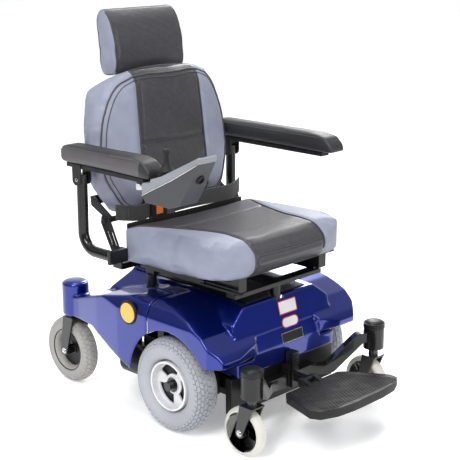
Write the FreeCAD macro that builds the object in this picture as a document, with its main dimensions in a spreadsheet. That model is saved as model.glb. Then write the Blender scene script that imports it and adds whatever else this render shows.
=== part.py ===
import FreeCAD, Part
import math
import os
import Sketcher
from FreeCAD import Placement, Rotation, Vector

# Power wheelchair.  The base is built with y = 0 at the drive axle, and origin_shift then moves
# everything so that the row's origin lies on the floor, in the middle of the chair's length.
# The chair faces -Y, +X is the occupant's left, and +Z is up.  Pieces that come in pairs are
# built on the left side and mirrored.  The backrest's pieces are built upright about the recline
# pivot and leant back by their placement.

SIZES = {
    # the row's frame
    "origin_shift": -63.9,
    # clearances
    "running_gap": 0.05,
    "face_gap": 0.5,
    "panel_gap": 0.6,
    # drive wheels
    "drive_track_half": 260.0,
    "drive_radius": 130.0,
    "drive_tyre_width": 82.0,
    "drive_tyre_shoulder": 24.0,
    "drive_seat_radius": 68.0,
    "drive_rim_width": 66.0,
    "rim_wall": 6.0,
    "rim_web": 6.0,
    "rim_web_offset": 6.0,
    "rim_window_inner": 29.0,
    "rim_window_outer": 56.0,
    "rim_window_angle": 82.0,
    "hub_radius": 22.0,
    "hub_inner_length": 48.0,
    "hub_face": 16.0,
    "hub_knob_radius": 13.0,
    "hub_knob_length": 20.0,
    "drive_axle_radius": 10.0,
    "drive_axle_reach": 2.0,
    # gear motors and freewheel levers
    "motor_offset": 175.0,
    "motor_radius": 36.0,
    "motor_height": 100.0,
    "motor_front": 45.0,
    "motor_rear": 290.0,
    "motor_boss_radius": 11.0,
    "motor_boss_y": 262.0,
    "gearbox_inner": 142.0,
    "gearbox_outer": 205.0,
    "gearbox_half_depth": 45.0,
    "gearbox_low": 78.0,
    "gearbox_high": 160.0,
    "lever_pin_radius": 4.0,
    "lever_pin_length": 9.0,
    "lever_thickness": 4.0,
    "lever_length": 62.0,
    "lever_width": 12.0,
    # casters: the swivel axis, the wheel and the fork
    "front_pivot_x": 249.0,
    "front_pivot_y": -264.0,
    "front_trail": 22.0,
    "front_wheel_radius": 66.0,
    "front_tyre_depth": 14.0,
    "front_tyre_width": 32.0,
    "front_stem_radius": 8.0,
    "front_barrel_radius": 29.0,
    "front_barrel_low": 164.0,
    "front_barrel_high": 224.0,
    "front_cap_height": 14.0,
    "rear_pivot_x": 235.0,
    "rear_pivot_y": 452.0,
    "rear_trail": 22.0,
    "rear_wheel_radius": 98.0,
    "rear_tyre_depth": 34.0,
    "rear_tyre_width": 50.0,
    "rear_stem_radius": 10.0,
    "rear_barrel_radius": 22.0,
    "rear_barrel_low": 213.5,
    "rear_barrel_high": 300.0,
    "caster_axle_radius": 5.0,
    "caster_wheel_gap": 6.0,
    "fork_plate": 5.0,
    "fork_side_gap": 3.0,
    "fork_half_depth": 22.0,
    "fork_foot_radius": 13.0,
    "stem_end_gap": 3.0,
    # base frame
    "rail_inner": 110.0,
    "rail_outer": 135.0,
    "rail_low": 92.0,
    "rail_high": 130.0,
    "frame_front": -150.0,
    "frame_rear": 330.0,
    "transom_half": 205.0,
    "transom_thickness": 22.0,
    "transom_low": 64.0,
    "transom_high": 165.0,
    "seat_beam_low": 236.0,
    "seat_beam_high": 262.0,
    "seat_beam_half": 185.0,
    "beam_depth": 25.0,
    "rear_arm_low": 226.0,
    "rear_arm_high": 256.0,
    # front caster arms
    "arm_root_x": 30.0,
    "arm_angle": 29.6,
    "arm_low_height": 118.0,
    "arm_high_height": 198.0,
    "arm_depth": 28.0,
    "arm_thickness": 26.0,
    "arm_bend_start": 118.0,
    "arm_bend_end": 208.0,
    "root_low": 100.0,
    "root_high": 136.0,
    "root_inner": 22.0,
    "root_outer": 100.0,
    "root_front": -182.0,
    # batteries, tray and power module
    "tray_half": 108.0,
    "tray_wall": 4.0,
    "tray_low": 60.0,
    "tray_high": 150.0,
    "tray_front": -126.0,
    "tray_rear": 312.0,
    "battery_length": 196.0,
    "battery_depth": 130.0,
    "battery_height": 160.0,
    "battery_front": -116.0,
    "battery_spacing": 10.0,
    "module_half": 70.0,
    "module_front": 195.0,
    "module_length": 100.0,
    "module_height": 48.0,
    # shroud
    "shroud_wall": 4.0,
    "shroud_half_width": 292.0,
    "arch_radius": 150.0,
    "arch_depth": 88.0,
    "deck_height": 350.0,
    "pod_inner": 190.0,
    "pod_front": 80.0,
    "pod_gap": 0.8,
    "cover_radius": 38.0,
    "cover_top": 310.0,
    "post_hole_radius": 19.0,
    "deck_panel_half": 118.0,
    "deck_panel_front": -118.0,
    "deck_panel_rear": 232.0,
    "deck_panel_thickness": 3.0,
    "reflector_radius": 28.0,
    "reflector_thickness": 5.0,
    "reflector_y": 152.0,
    "reflector_z": 300.0,
    # seat posts and the fixed seat base
    "post_radius": 14.0,
    "front_post_y": -115.0,
    "rear_post_x": 165.0,
    "rear_post_y": 198.0,
    "post_top": 372.0,
    "seat_base_height": 12.0,
    "seat_base_width": 34.0,
    "slide_x": 160.0,
    "slide_half_width": 12.0,
    "slide_height": 8.0,
    "slide_front": -125.0,
    "slide_rear": 236.0,
    "slide_gap": 0.3,
    # seat frame and cushion
    "upper_rail_half_width": 15.0,
    "seat_rear": 222.0,
    "seat_bottom_rear": 418.0,
    "seat_bottom_front": 435.0,
    "seat_front": -172.0,
    "seat_half_width": 252.0,
    "seat_rear_half": 245.0,
    "seat_front_half": 133.0,
    "seat_top": 528.0,
    "pan_thickness": 5.0,
    "pan_half": 212.0,
    "cushion_gap": 0.5,
    # recline brackets, backrest and headrest
    "recline_y": 290.0,
    "recline_z": 523.0,
    "recline_angle": 6.8,
    "bracket_inner": 247.0,
    "bracket_thickness": 5.0,
    "recline_pin_radius": 6.0,
    "back_tube_radius": 8.0,
    "back_front": -38.0,
    "back_rear": 72.0,
    "back_bottom": 12.0,
    "back_top": 397.0,
    "back_top_rear": 362.0,
    "back_half_width": 253.0,
    "back_bottom_half": 202.0,
    "back_top_half": 196.0,
    "back_plate": 5.0,
    "back_arm_x": 228.0,
    "back_panel_half": 150.0,
    "back_panel_top": 335.0,
    "rod_radius": 6.0,
    "rod_x": 55.0,
    "rod_y": 50.0,
    "rod_bottom": 262.0,
    "guide_wall": 4.0,
    "guide_bottom": 250.0,
    "guide_top": 378.0,
    "guide_gap": 0.3,
    "headrest_half": 134.0,
    "headrest_front": 26.0,
    "headrest_rear": 106.0,
    "headrest_bottom": 386.0,
    "headrest_height": 186.0,
    # armrests
    "arm_x": 291.0,
    "arm_post_radius": 15.0,
    "arm_post_y": 335.0,
    "arm_post_bend": 50.0,
    "arm_leg_z": 443.0,
    "arm_leg_front": 214.0,
    "arm_pivot_z": 640.0,
    "arm_pin_radius": 5.0,
    "arm_ear": 4.0,
    "arm_ear_gap": 0.4,
    "arm_rail_low": 672.0,
    "arm_rail_height": 12.0,
    "arm_rail_half": 16.0,
    "right_rail_front": 66.0,
    "left_rail_front": -40.0,
    "arm_rail_rear": 380.0,
    "pad_low": 684.5,
    "pad_height": 54.0,
    "pad_half": 32.5,
    "right_pad_front": 31.0,
    "left_pad_front": -85.0,
    "pad_rear": 390.0,
    # controller
    "case_half": 32.5,
    "case_rear": 54.0,
    "link_y": 95.0,
    "link_radius": 12.0,
    "link_low": 650.0,
    "link_top": 667.0,
    "link_pin_radius": 5.0,
    "stick_y": -5.0,
    "stick_pivot_z": 700.0,
    "stick_top": 770.0,
    "stick_well_radius": 24.5,
    "stick_well_floor": 686.0,
    "ring_outer": 22.0,
    "ring_inner": 14.0,
    "ring_thickness": 6.0,
    "panel_angle": 26.2,
    "button_radius": 7.0,
    "button_gap": 0.3,
    "button_y": -92.0,
    "button_z": 741.4,
    "button_proud": 2.5,
    "button_depth": 6.0,
    # lap belt
    "belt_thickness": 3.0,
    "belt_low": 518.0,
    "belt_width": 48.0,
    "belt_y": 231.0,
    "belt_end": 243.0,
    "buckle_left": -78.0,
    "buckle_length": 56.0,
    "buckle_front": 225.5,
    "buckle_depth": 15.0,
    "tongue_length": 34.0,
    "buckle_button_half": 12.0,
    # footrest
    "footrest_width": 26.0,
    "footrest_y": -180.0,
    "footrest_post_low": 98.0,
    "footrest_post_top": 198.0,
    "receiver_cheek": 4.0,
    "receiver_low": 100.0,
    "receiver_high": 162.0,
    "hinge_y": -236.0,
    "hinge_z": 131.0,
    "hinge_radius": 9.0,
    "hinge_pin_radius": 4.0,
    "hinge_half": 30.0,
    "footplate_rear": -251.0,
    "footplate_front": -443.0,
    "footplate_rear_half": 106.0,
    "footplate_front_half": 168.0,
    "footplate_thickness": 22.0,
    "footplate_top": 128.0,
    "footplate_tilt": 5.0,
}

doc = FreeCAD.newDocument("power_wheelchair")
sheet = doc.addObject("Spreadsheet::Sheet", "sizes")


class Size:
    """A length or angle that knows its formula in the sheet and its present value."""

    def __init__(self, text, value):
        self.text = text
        self.value = value

    def joined(self, other, sign, result):
        return Size("(" + self.text + " " + sign + " " + sized(other).text + ")", result)

    def __add__(self, other):
        return self.joined(other, "+", self.value + sized(other).value)

    def __sub__(self, other):
        return self.joined(other, "-", self.value - sized(other).value)

    def __mul__(self, other):
        return self.joined(other, "*", self.value * sized(other).value)

    def __truediv__(self, other):
        return self.joined(other, "/", self.value / sized(other).value)

    def __radd__(self, other):
        return sized(other) + self

    def __rsub__(self, other):
        return sized(other) - self

    def __rmul__(self, other):
        return sized(other) * self

    def __neg__(self):
        return sized(0) - self


def sized(number):
    """A plain number as a Size."""
    if isinstance(number, Size):
        return number
    return Size(repr(float(number)), float(number))


class Sizes:
    """The sheet's values by name."""


d = Sizes()
for row, (alias, number) in enumerate(SIZES.items(), start=1):
    sheet.set("A%d" % row, alias.replace("_", " "))
    sheet.set("B%d" % row, str(number))
    sheet.setAlias("B%d" % row, alias)
    setattr(d, alias, Size("sizes." + alias, number))
doc.recompute()

AXIS_TURNS = {
    "X": Rotation(Vector(0, 1, 0), 90),
    "Y": Rotation(Vector(1, 0, 0), -90),
    "Z": Rotation(),
}
SUBPARTS = []


def bind(item, **formulas):
    """Bind properties to formulas; a double underscore in a name stands for a dot."""
    for path, amount in formulas.items():
        item.setExpression(path.replace("__", "."), sized(amount).text)


def box(name, x, y, z):
    """A box between the low and high of each axis."""
    item = doc.addObject("Part::Box", name)
    bind(item, Length=x[1] - x[0], Width=y[1] - y[0], Height=z[1] - z[0])
    bind(item, Placement__Base__x=x[0], Placement__Base__y=y[0], Placement__Base__z=z[0])
    return item


def cylinder(name, axis, start, radius, length):
    """A cylinder from its start point along an axis."""
    item = doc.addObject("Part::Cylinder", name)
    item.Placement = Placement(Vector(), AXIS_TURNS[axis])
    bind(item, Radius=radius, Height=length)
    bind(item, Placement__Base__x=start[0], Placement__Base__y=start[1], Placement__Base__z=start[2])
    return item


def fuse(name, *pieces):
    """One solid from several that touch or overlap."""
    item = doc.addObject("Part::MultiFuse", name)
    item.Shapes = list(pieces)
    item.Refine = True
    return item


def group(name, *pieces):
    """Separate solids kept together in one node."""
    item = doc.addObject("Part::Compound", name)
    item.Links = list(pieces)
    return item


def cut(name, base, *tools):
    """The base with each tool taken away."""
    item = doc.addObject("Part::Cut", name)
    item.Base = base
    item.Tool = tools[0] if len(tools) == 1 else group(name + "_tools", *tools)
    item.Refine = True
    return item


def common(name, *pieces):
    """What the pieces share."""
    item = doc.addObject("Part::MultiCommon", name)
    item.Shapes = list(pieces)
    return item


def mirror(name, source):
    """The right-hand copy of a left-hand piece."""
    item = doc.addObject("Part::Mirroring", name)
    item.Source = source
    item.Normal = (1, 0, 0)
    return item


def add_sketch(body, name, plane, outline):
    """A closed outline whose corners are bound to the sheet, on one of the body's planes."""
    sketch = body.newObject("Sketcher::SketchObject", name)
    role = plane + "_Plane"
    base = [feature for feature in body.Origin.OriginFeatures if feature.Role == role][0]
    sketch.AttachmentSupport = [(base, "")]
    sketch.MapMode = "FlatFace"
    corners = [(sized(u), sized(v)) for u, v in outline]
    count = len(corners)
    for index in range(count):
        start = corners[index]
        end = corners[(index + 1) % count]
        line = Part.LineSegment(Vector(start[0].value, start[1].value), Vector(end[0].value, end[1].value))
        sketch.addGeometry(line, False)
    for index in range(count):
        sketch.addConstraint(Sketcher.Constraint("Coincident", index, 2, (index + 1) % count, 1))
    for index, (u, v) in enumerate(corners):
        bind_corner(sketch, index, "DistanceX", u, -2)
        bind_corner(sketch, index, "DistanceY", v, -1)
    return sketch


def bind_corner(sketch, index, kind, amount, axis):
    """Hold one coordinate of a sketch's corner; a corner at zero lies on the axis itself."""
    if amount.value == 0:
        sketch.addConstraint(Sketcher.Constraint("PointOnObject", index, 1, axis))
        return
    number = sketch.addConstraint(Sketcher.Constraint(kind, -1, 1, index, 1, amount.value))
    sketch.setExpression("Constraints[%d]" % number, amount.text)


def pad(name, plane, outline, low, high, rounds=()):
    """An outline pushed from low to high along the plane's axis, with chosen corners rounded.

    The outline is (x, y), (x, z) or (y, z) for the planes XY, XZ and YZ.  Each round is a
    corner's number in the outline and a radius.
    """
    body = doc.addObject("PartDesign::Body", name)
    sketch = add_sketch(body, name + "_outline", plane, outline)
    start = -sized(high) if plane == "XZ" else sized(low)
    bind(sketch, AttachmentOffset__Base__z=start)
    solid = body.newObject("PartDesign::Pad", name + "_pad")
    solid.Profile = sketch
    bind(solid, Length=sized(high) - low)
    if rounds:
        doc.recompute()
        round_corners(body, solid, plane, outline, rounds)
    return body


def round_corners(body, solid, plane, outline, rounds):
    """Fillet the edges that run along the pad at the chosen corners."""
    for order, (corner, radius) in enumerate(rounds):
        u, v = (sized(amount).value for amount in outline[corner])
        names = []
        for number, edge in enumerate(solid.Shape.Edges, start=1):
            ends = [flat_point(plane, vertex.Point) for vertex in edge.Vertexes]
            if len(ends) == 2 and all(math.hypot(a - u, b - v) < 0.01 for a, b in ends):
                names.append("Edge%d" % number)
        fillet = body.newObject("PartDesign::Fillet", "%s_round_%d" % (body.Name, order))
        fillet.Base = (solid, names)
        bind(fillet, Radius=radius)
        doc.recompute()
        solid = fillet


def flat_point(plane, point):
    """A point's two coordinates in an outline's plane."""
    pairs = {"XY": (point.x, point.y), "XZ": (point.x, point.z), "YZ": (point.y, point.z)}
    return pairs[plane]


def revolve(name, outline, axis="X", rounds=()):
    """An outline of (place along the axis, radius) turned about the X or Z axis through zero."""
    body = doc.addObject("PartDesign::Body", name)
    if axis == "X":
        sketch = add_sketch(body, name + "_outline", "XY", outline)
        line = "H_Axis"
    else:
        sketch = add_sketch(body, name + "_outline", "XZ", [(radius, place) for place, radius in outline])
        line = "V_Axis"
    solid = body.newObject("PartDesign::Revolution", name + "_turned")
    solid.Profile = sketch
    solid.ReferenceAxis = (sketch, [line])
    solid.Angle = 360
    for order, (place, radius, amount) in enumerate(rounds):
        doc.recompute()
        names = ring_edges(solid, axis, sized(place).value, sized(radius).value)
        fillet = body.newObject("PartDesign::Fillet", "%s_round_%d" % (body.Name, order))
        fillet.Base = (solid, names)
        bind(fillet, Radius=amount)
        solid = fillet
    return body


def ring_edges(solid, axis, place, radius):
    """The names of the circular edges at one place and radius of a turned solid."""
    names = []
    for number, edge in enumerate(solid.Shape.Edges, start=1):
        if not isinstance(edge.Curve, Part.Circle):
            continue
        along = edge.Curve.Center.x if axis == "X" else edge.Curve.Center.z
        if abs(along - place) < 0.01 and abs(edge.Curve.Radius - radius) < 0.01:
            names.append("Edge%d" % number)
    return names


def feature(name, shape):
    """A piece whose shape is worked out in code from the sheet's sizes."""
    item = doc.addObject("Part::Feature", name)
    item.Shape = shape
    return item


def finish(item, label, x=0, y=0, z=0):
    """Make an object a sub-part: give it its label and its place in the row's frame."""
    item.Label = label
    bind(item, Placement__Base__x=x, Placement__Base__y=sized(y) + d.origin_shift, Placement__Base__z=z)
    SUBPARTS.append(item)
    return item


def finish_leaning(item, label):
    """Make a backrest piece a sub-part: lean it back about the recline pivot."""
    item.Placement = Placement(Vector(), Rotation(Vector(1, 0, 0), -d.recline_angle.value))
    return finish(item, label, 0, d.recline_y, d.recline_z)


def finish_pair(item, name, x=0, y=0, z=0):
    """Make a left-hand piece and its mirror image two sub-parts, named for their sides."""
    finish(group(name + "_left", item), name + "_left", x, y, z)
    finish(mirror(name + "_right", item), name + "_right", -sized(x), y, z)


# ---------------------------------------------------------------- drive wheels


def make_drive_wheels():
    """Tyre and rim of each drive wheel, built about the wheel's centre with +X outwards."""
    half = d.drive_tyre_width / 2
    seat = d.drive_seat_radius
    tyre = revolve(
        "drive_tyre_body",
        [(-half, seat), (half, seat), (half, d.drive_radius), (-half, d.drive_radius)],
        rounds=[(-half, d.drive_radius, d.drive_tyre_shoulder),
            (half, d.drive_radius, d.drive_tyre_shoulder)],
    )
    finish_pair(tyre, "drive_tyre", d.drive_track_half, 0, d.drive_radius)

    rim_half = d.drive_rim_width / 2
    bore = d.drive_axle_radius + d.running_gap
    inside = seat - d.rim_wall
    web = d.rim_web_offset
    rim = revolve("drive_rim_turned", [
        (-d.hub_inner_length, bore), (d.drive_axle_reach + d.face_gap, bore),
            (d.drive_axle_reach + d.face_gap, 0),
        (d.hub_face, 0), (d.hub_face, d.hub_radius), (web + d.rim_web, d.hub_radius),
            (web + d.rim_web, inside),
        (rim_half, inside), (rim_half, seat), (-rim_half, seat), (-rim_half, inside), (web, inside),
        (web, d.hub_radius), (-d.hub_inner_length, d.hub_radius),
    ])
    windows = [rim_window(turn) for turn in (0, 120, 240)]
    wheel = cut("drive_rim_cut", rim, *windows)
    knob = cylinder("drive_knob", "X", (d.hub_face, 0, 0), d.hub_knob_radius, d.hub_knob_length)
    finish_pair(group("drive_rim_group", wheel, knob), "drive_rim", d.drive_track_half, 0, d.drive_radius)


def rim_window(turn):
    """A ring-sector cutter through the rim's web, turned about the axle."""
    depth = d.rim_web * 3
    pieces = []
    for kind, radius in (("outer", d.rim_window_outer), ("inner", d.rim_window_inner)):
        item = doc.addObject("Part::Cylinder", "rim_window_%s_%d" % (kind, turn))
        item.Placement = Placement(Vector(), Rotation(Vector(1, 0, 0), turn) * AXIS_TURNS["X"])
        bind(item, Radius=radius, Height=depth, Placement__Base__x=d.rim_web_offset - d.rim_web)
        if kind == "outer":
            bind(item, Angle=d.rim_window_angle)
        pieces.append(item)
    return cut("rim_window_%d" % turn, pieces[0], pieces[1])


# ---------------------------------------------------------------- casters


def make_casters(name, pivot_x, pivot_y, trail, radius, depth, width, stem_radius, barrel_low, barrel_high):
    """Fork, rim and tyre of a pair of casters; the fork is built about the swivel axis."""
    seat = radius - depth
    half = width / 2
    tyre = revolve(
        name + "_tyre_body",
        [(-half, seat), (half, seat), (half, radius), (-half, radius)],
        rounds=[(-half, radius, half * 0.8), (half, radius, half * 0.8)],
    )
    finish_pair(tyre, name + "_tyre", pivot_x, pivot_y + trail, radius)

    bore = d.caster_axle_radius + d.running_gap
    hub = d.caster_axle_radius + 9
    lip = d.rim_wall / 2 + 1
    web = d.rim_web / 2
    rim = revolve(name + "_rim_turned", [
        (-half, bore), (half, bore), (half, hub), (web, hub), (web, seat - lip), (half - 3, seat - lip),
        (half - 3, seat), (3 - half, seat), (3 - half, seat - lip), (-web, seat - lip), (-web, hub),
            (-half, hub),
    ])
    holes = [rim_hole(name, turn, hub, seat - lip) for turn in range(0, 360, 60)]
    finish_pair(cut(name + "_rim_cut", rim, *holes), name + "_rim", pivot_x, pivot_y + trail, radius)

    crown_low = radius * 2 + d.caster_wheel_gap
    crown_high = crown_low + d.fork_plate
    leg_inner = half + d.fork_side_gap
    leg_outer = leg_inner + d.fork_plate
    depth_half = d.fork_half_depth
    foot = d.fork_foot_radius
    legs = []
    for side, low, high in (("outer", leg_inner, leg_outer), ("inner", -leg_outer, -leg_inner)):
        legs.append(pad(name + "_leg_" + side, "YZ", [
            (-depth_half, crown_high), (depth_half, crown_high), (trail + foot, radius),
            (trail + foot, radius - foot), (trail - foot, radius - foot), (trail - foot, radius),
        ], low, high, rounds=[(3, foot - 1), (4, foot - 1)]))
    crown = box(name + "_crown", (-leg_outer, leg_outer), (-depth_half, depth_half), (crown_low, crown_high))
    spacer = cylinder(name + "_spacer", "Z", (0, 0, crown_high), stem_radius + 5,
        barrel_low - crown_high - d.face_gap)
    stem_top = barrel_high - d.stem_end_gap * 2
    stem = cylinder(name + "_stem", "Z", (0, 0, crown_high), stem_radius, stem_top - crown_high)
    axle = cylinder(name + "_axle", "X", (-leg_outer - 4, trail, radius), d.caster_axle_radius,
        leg_outer * 2 + 8)
    axle_hole = cylinder(name + "_axle_hole", "X", (-leg_outer - 4, trail, radius), d.caster_axle_radius,
        leg_outer * 2 + 8)
    fork = cut(name + "_fork_cut", fuse(name + "_fork_body", crown, spacer, stem, *legs), axle_hole)
    finish_pair(group(name + "_fork_group", fork, axle), name + "_fork", pivot_x, pivot_y, 0)


def rim_hole(name, turn, hub, inside):
    """A round lightening hole between two of a caster rim's spokes."""
    middle = (hub + inside) / 2
    radius = (inside - hub) / 2 - 2
    item = doc.addObject("Part::Cylinder", "%s_hole_%d" % (name, turn))
    item.Placement = Placement(Vector(), AXIS_TURNS["X"])
    across = math.cos(math.radians(turn))
    along = math.sin(math.radians(turn))
    bind(item, Radius=radius, Height=d.rim_web * 3, Placement__Base__x=-d.rim_web * 1.5)
    bind(item, Placement__Base__y=middle * across, Placement__Base__z=middle * along)
    return item


# ---------------------------------------------------------------- base frame and drive


def make_base_frame():
    """Welded frame: rails, legs, beams, transoms, rear arms with barrels, and footrest receiver."""
    pieces = []
    for side in (1, -1):
        rail_x = ordered(d.rail_inner * side, d.rail_outer * side)
        tag = "left" if side > 0 else "right"
        front_inside = d.frame_front + d.transom_thickness
        pieces.append(box("rail_" + tag, rail_x, (front_inside - 2, d.frame_rear), (d.rail_low, d.rail_high)))
        for end, middle in (("front", d.front_post_y), ("rear", d.rear_post_y)):
            depth = (middle - d.beam_depth / 2, middle + d.beam_depth / 2)
            pieces.append(box("leg_%s_%s" % (end, tag), rail_x, depth,
                (d.rail_high - 1, d.seat_beam_low + 1)))
        rear_depth = (d.frame_rear - d.beam_depth, d.frame_rear)
        pieces.append(box("upright_" + tag, rail_x, rear_depth, (d.rail_high - 1, d.rear_arm_high)))
        outer = d.rear_pivot_x * side
        arm = [
            (d.rail_inner * side, d.frame_rear - d.beam_depth),
                (d.rail_outer * side, d.frame_rear - d.beam_depth),
            (outer + 13 * side, d.rear_pivot_y - 6), (outer - 13 * side, d.rear_pivot_y + 10),
        ]
        pieces.append(pad("rear_arm_" + tag, "XY", arm, d.rear_arm_low, d.rear_arm_high))
        start = (outer, d.rear_pivot_y, d.rear_barrel_low)
        pieces.append(cylinder("rear_barrel_" + tag, "Z", start, d.rear_barrel_radius,
                               d.rear_barrel_high - d.rear_barrel_low))
    for end, middle in (("front", d.front_post_y), ("rear", d.rear_post_y)):
        depth = (middle - d.beam_depth / 2, middle + d.beam_depth / 2)
        reach = (-d.seat_beam_half, d.seat_beam_half)
        pieces.append(box("seat_beam_" + end, reach, depth, (d.seat_beam_low, d.seat_beam_high)))
    front = (d.frame_front, d.frame_front + d.transom_thickness)
    height = (d.transom_low, d.transom_high)
    pieces.append(box("front_transom", (-d.transom_half, d.transom_half), front, height))
    rear = (d.frame_rear - d.beam_depth, d.frame_rear)
    pieces.append(box("rear_transom", (-d.rail_outer, d.rail_outer), rear, (d.rear_arm_low, d.rear_arm_high)))
    half = d.footrest_width / 2 + d.face_gap
    wall = d.receiver_cheek
    back = d.footrest_y + half
    height = (d.receiver_low, d.receiver_high)
    pieces.append(box("receiver_back", (-half - wall, half + wall), (back, d.frame_front + 1), height))
    for tag, low, high in (("left", half, half + wall), ("right", -half - wall, -half)):
        pieces.append(box("receiver_" + tag, (low, high), (d.footrest_y - 4, back + 1), height))
    bores = []
    for side in (1, -1):
        start = (d.rear_pivot_x * side, d.rear_pivot_y, d.rear_barrel_low - 1)
        length = d.rear_barrel_high - d.stem_end_gap - d.rear_barrel_low
        bores.append(cylinder("rear_bore_%d" % (side + 1), "Z", start,
            d.rear_stem_radius + d.running_gap, length))
    finish(cut("base_frame", fuse("base_frame_welded", *pieces), *bores), "base_frame")


def ordered(first, second):
    """Two sizes with the lower one first."""
    return (first, second) if first.value < second.value else (second, first)


def make_front_arms():
    """The S-shaped arm that carries each front caster's barrel, with its root block."""
    reach = (d.front_pivot_x - d.arm_root_x) / math.cos(math.radians(d.arm_angle.value))
    half = d.arm_depth / 2
    low = d.arm_low_height
    high = d.arm_high_height
    bar = pad("front_arm_bar", "XZ", [
        (0, low - half), (d.arm_bend_start + 8, low - half), (d.arm_bend_end + 8, high - half),
            (reach, high - half),
        (reach, high + half), (d.arm_bend_end - 8, high + half), (d.arm_bend_start - 8, low + half),
            (0, low + half),
    ], -d.arm_thickness / 2, d.arm_thickness / 2, rounds=[(1, 34), (2, 12), (5, 34), (6, 12)])
    bar.Placement = Placement(Vector(), Rotation(Vector(0, 0, 1), -d.arm_angle.value))
    drop = math.tan(math.radians(d.arm_angle.value))
    root_y = d.front_pivot_y + (d.front_pivot_x - d.arm_root_x) * drop
    bind(bar, Placement__Base__x=d.arm_root_x, Placement__Base__y=root_y)
    limit = box("front_arm_limit", (0, d.front_pivot_x * 2), (d.front_pivot_y * 2, d.root_front + 10),
        (0, d.deck_height))
    bar_front = common("front_arm_front", bar, limit)
    root = box("front_arm_root", (d.root_inner, d.root_outer), (d.root_front, d.frame_front),
        (d.root_low, d.root_high))
    start = (d.front_pivot_x, d.front_pivot_y, d.front_barrel_low)
    barrel = cylinder("front_barrel", "Z", start, d.front_barrel_radius,
        d.front_barrel_high - d.front_barrel_low)
    start = (d.front_pivot_x, d.front_pivot_y, d.front_barrel_low - 1)
    length = d.front_barrel_high - d.stem_end_gap - d.front_barrel_low
    bore = cylinder("front_bore", "Z", start, d.front_stem_radius + d.running_gap, length)
    arm = cut("front_arm_whole", fuse("front_arm_welded", bar_front, root, barrel), bore)
    finish_pair(arm, "front_caster_arm")
    caps = []
    for side in (1, -1):
        start = (d.front_pivot_x * side, d.front_pivot_y, d.front_barrel_high)
        lower = cylinder("cap_%d" % (side + 1), "Z", start, d.front_barrel_radius + 1, d.front_cap_height)
        caps.append(lower)
    finish(group("caster_caps", *caps), "caster_caps")


def make_motors():
    """Right-angle gear motor of each drive wheel, with its axle and the pin of its freewheel lever."""
    offset = d.motor_offset
    height = d.motor_height
    length = d.motor_rear - d.motor_front
    rear = d.motor_rear
    box_x = (d.gearbox_inner, d.gearbox_outer)
    box_y = (-d.gearbox_half_depth, d.gearbox_half_depth + 1)
    boss_reach = d.motor_radius + 3
    motor = fuse(
        "gear_motor",
        box("gearbox", box_x, box_y, (d.gearbox_low, d.gearbox_high)),
        cylinder("motor_case", "Y", (offset, d.motor_front, height), d.motor_radius, length),
        cylinder("motor_boss", "X", (offset, d.motor_boss_y, height), d.motor_boss_radius, boss_reach),
        cylinder("lever_pin", "Y", (offset, rear - 1, height), d.lever_pin_radius, d.lever_pin_length + 1),
        cylinder("drive_axle", "X", (d.gearbox_outer - 1, 0, d.drive_radius), d.drive_axle_radius,
                 d.drive_track_half + d.drive_axle_reach - d.gearbox_outer + 1),
    )
    finish_pair(motor, "gear_motor")
    half = d.lever_width / 2
    back = rear + d.face_gap + d.lever_thickness
    blade = pad("lever_blade", "XZ", [
        (offset - half, height - 10), (offset + half, height - 10), (offset + half, height + d.lever_length),
        (offset - half, height + d.lever_length),
    ], rear + d.face_gap, back, rounds=[(0, half - 1), (1, half - 1), (2, half - 1), (3, half - 1)])
    eye = cylinder("lever_eye", "Y", (offset, rear, height), d.lever_pin_radius + d.running_gap,
        d.lever_pin_length)
    finish_pair(cut("lever_whole", blade, eye), "freewheel_lever")


def make_power_pack():
    """Battery tray, two batteries and the power module, all hidden in the base."""
    wall = d.tray_wall
    half = d.tray_half
    outside = box("tray_outside", (-half, half), (d.tray_front, d.tray_rear - 10), (d.tray_low, d.tray_high))
    inside = box("tray_inside", (wall - half, half - wall), (d.tray_front + wall, d.tray_rear - 10 - wall),
                 (d.tray_low + wall, d.tray_high + 1))
    finish(cut("battery_tray", outside, inside), "battery_tray")
    floor = d.tray_low + wall
    first = d.battery_front
    second = first + d.battery_depth + d.battery_spacing
    half = d.battery_length / 2
    cells = []
    for order, front in enumerate((first, second)):
        depth = (front, front + d.battery_depth)
        cells.append(box("battery_%d" % order, (-half, half), depth, (floor, floor + d.battery_height)))
    finish(group("batteries", *cells), "batteries")
    depth = (d.module_front, d.module_front + d.module_length)
    half = d.module_half
    module = box("module_case", (-half, half), depth, (floor, floor + d.module_height))
    finish(group("power_module", module), "power_module")


# ---------------------------------------------------------------- shroud


def prism(plane, outline, low, high):
    """A solid pushed from low to high along the axis that the outline's plane leaves out."""
    corners = []
    for u, v in outline:
        places = {"XY": (u, v, low), "XZ": (u, low, v), "YZ": (low, u, v)}
        corners.append(Vector(*places[plane]))
    push = {"XY": Vector(0, 0, high - low), "XZ": Vector(0, high - low, 0), "YZ": Vector(high - low, 0, 0)}
    return Part.Face(Part.makePolygon(corners + corners[:1])).extrude(push[plane])


def both_halves(outline):
    """A left-hand outline with its mirror image, closed across x = 0."""
    return list(outline) + [(-u, v) for u, v in reversed(outline)]


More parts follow.
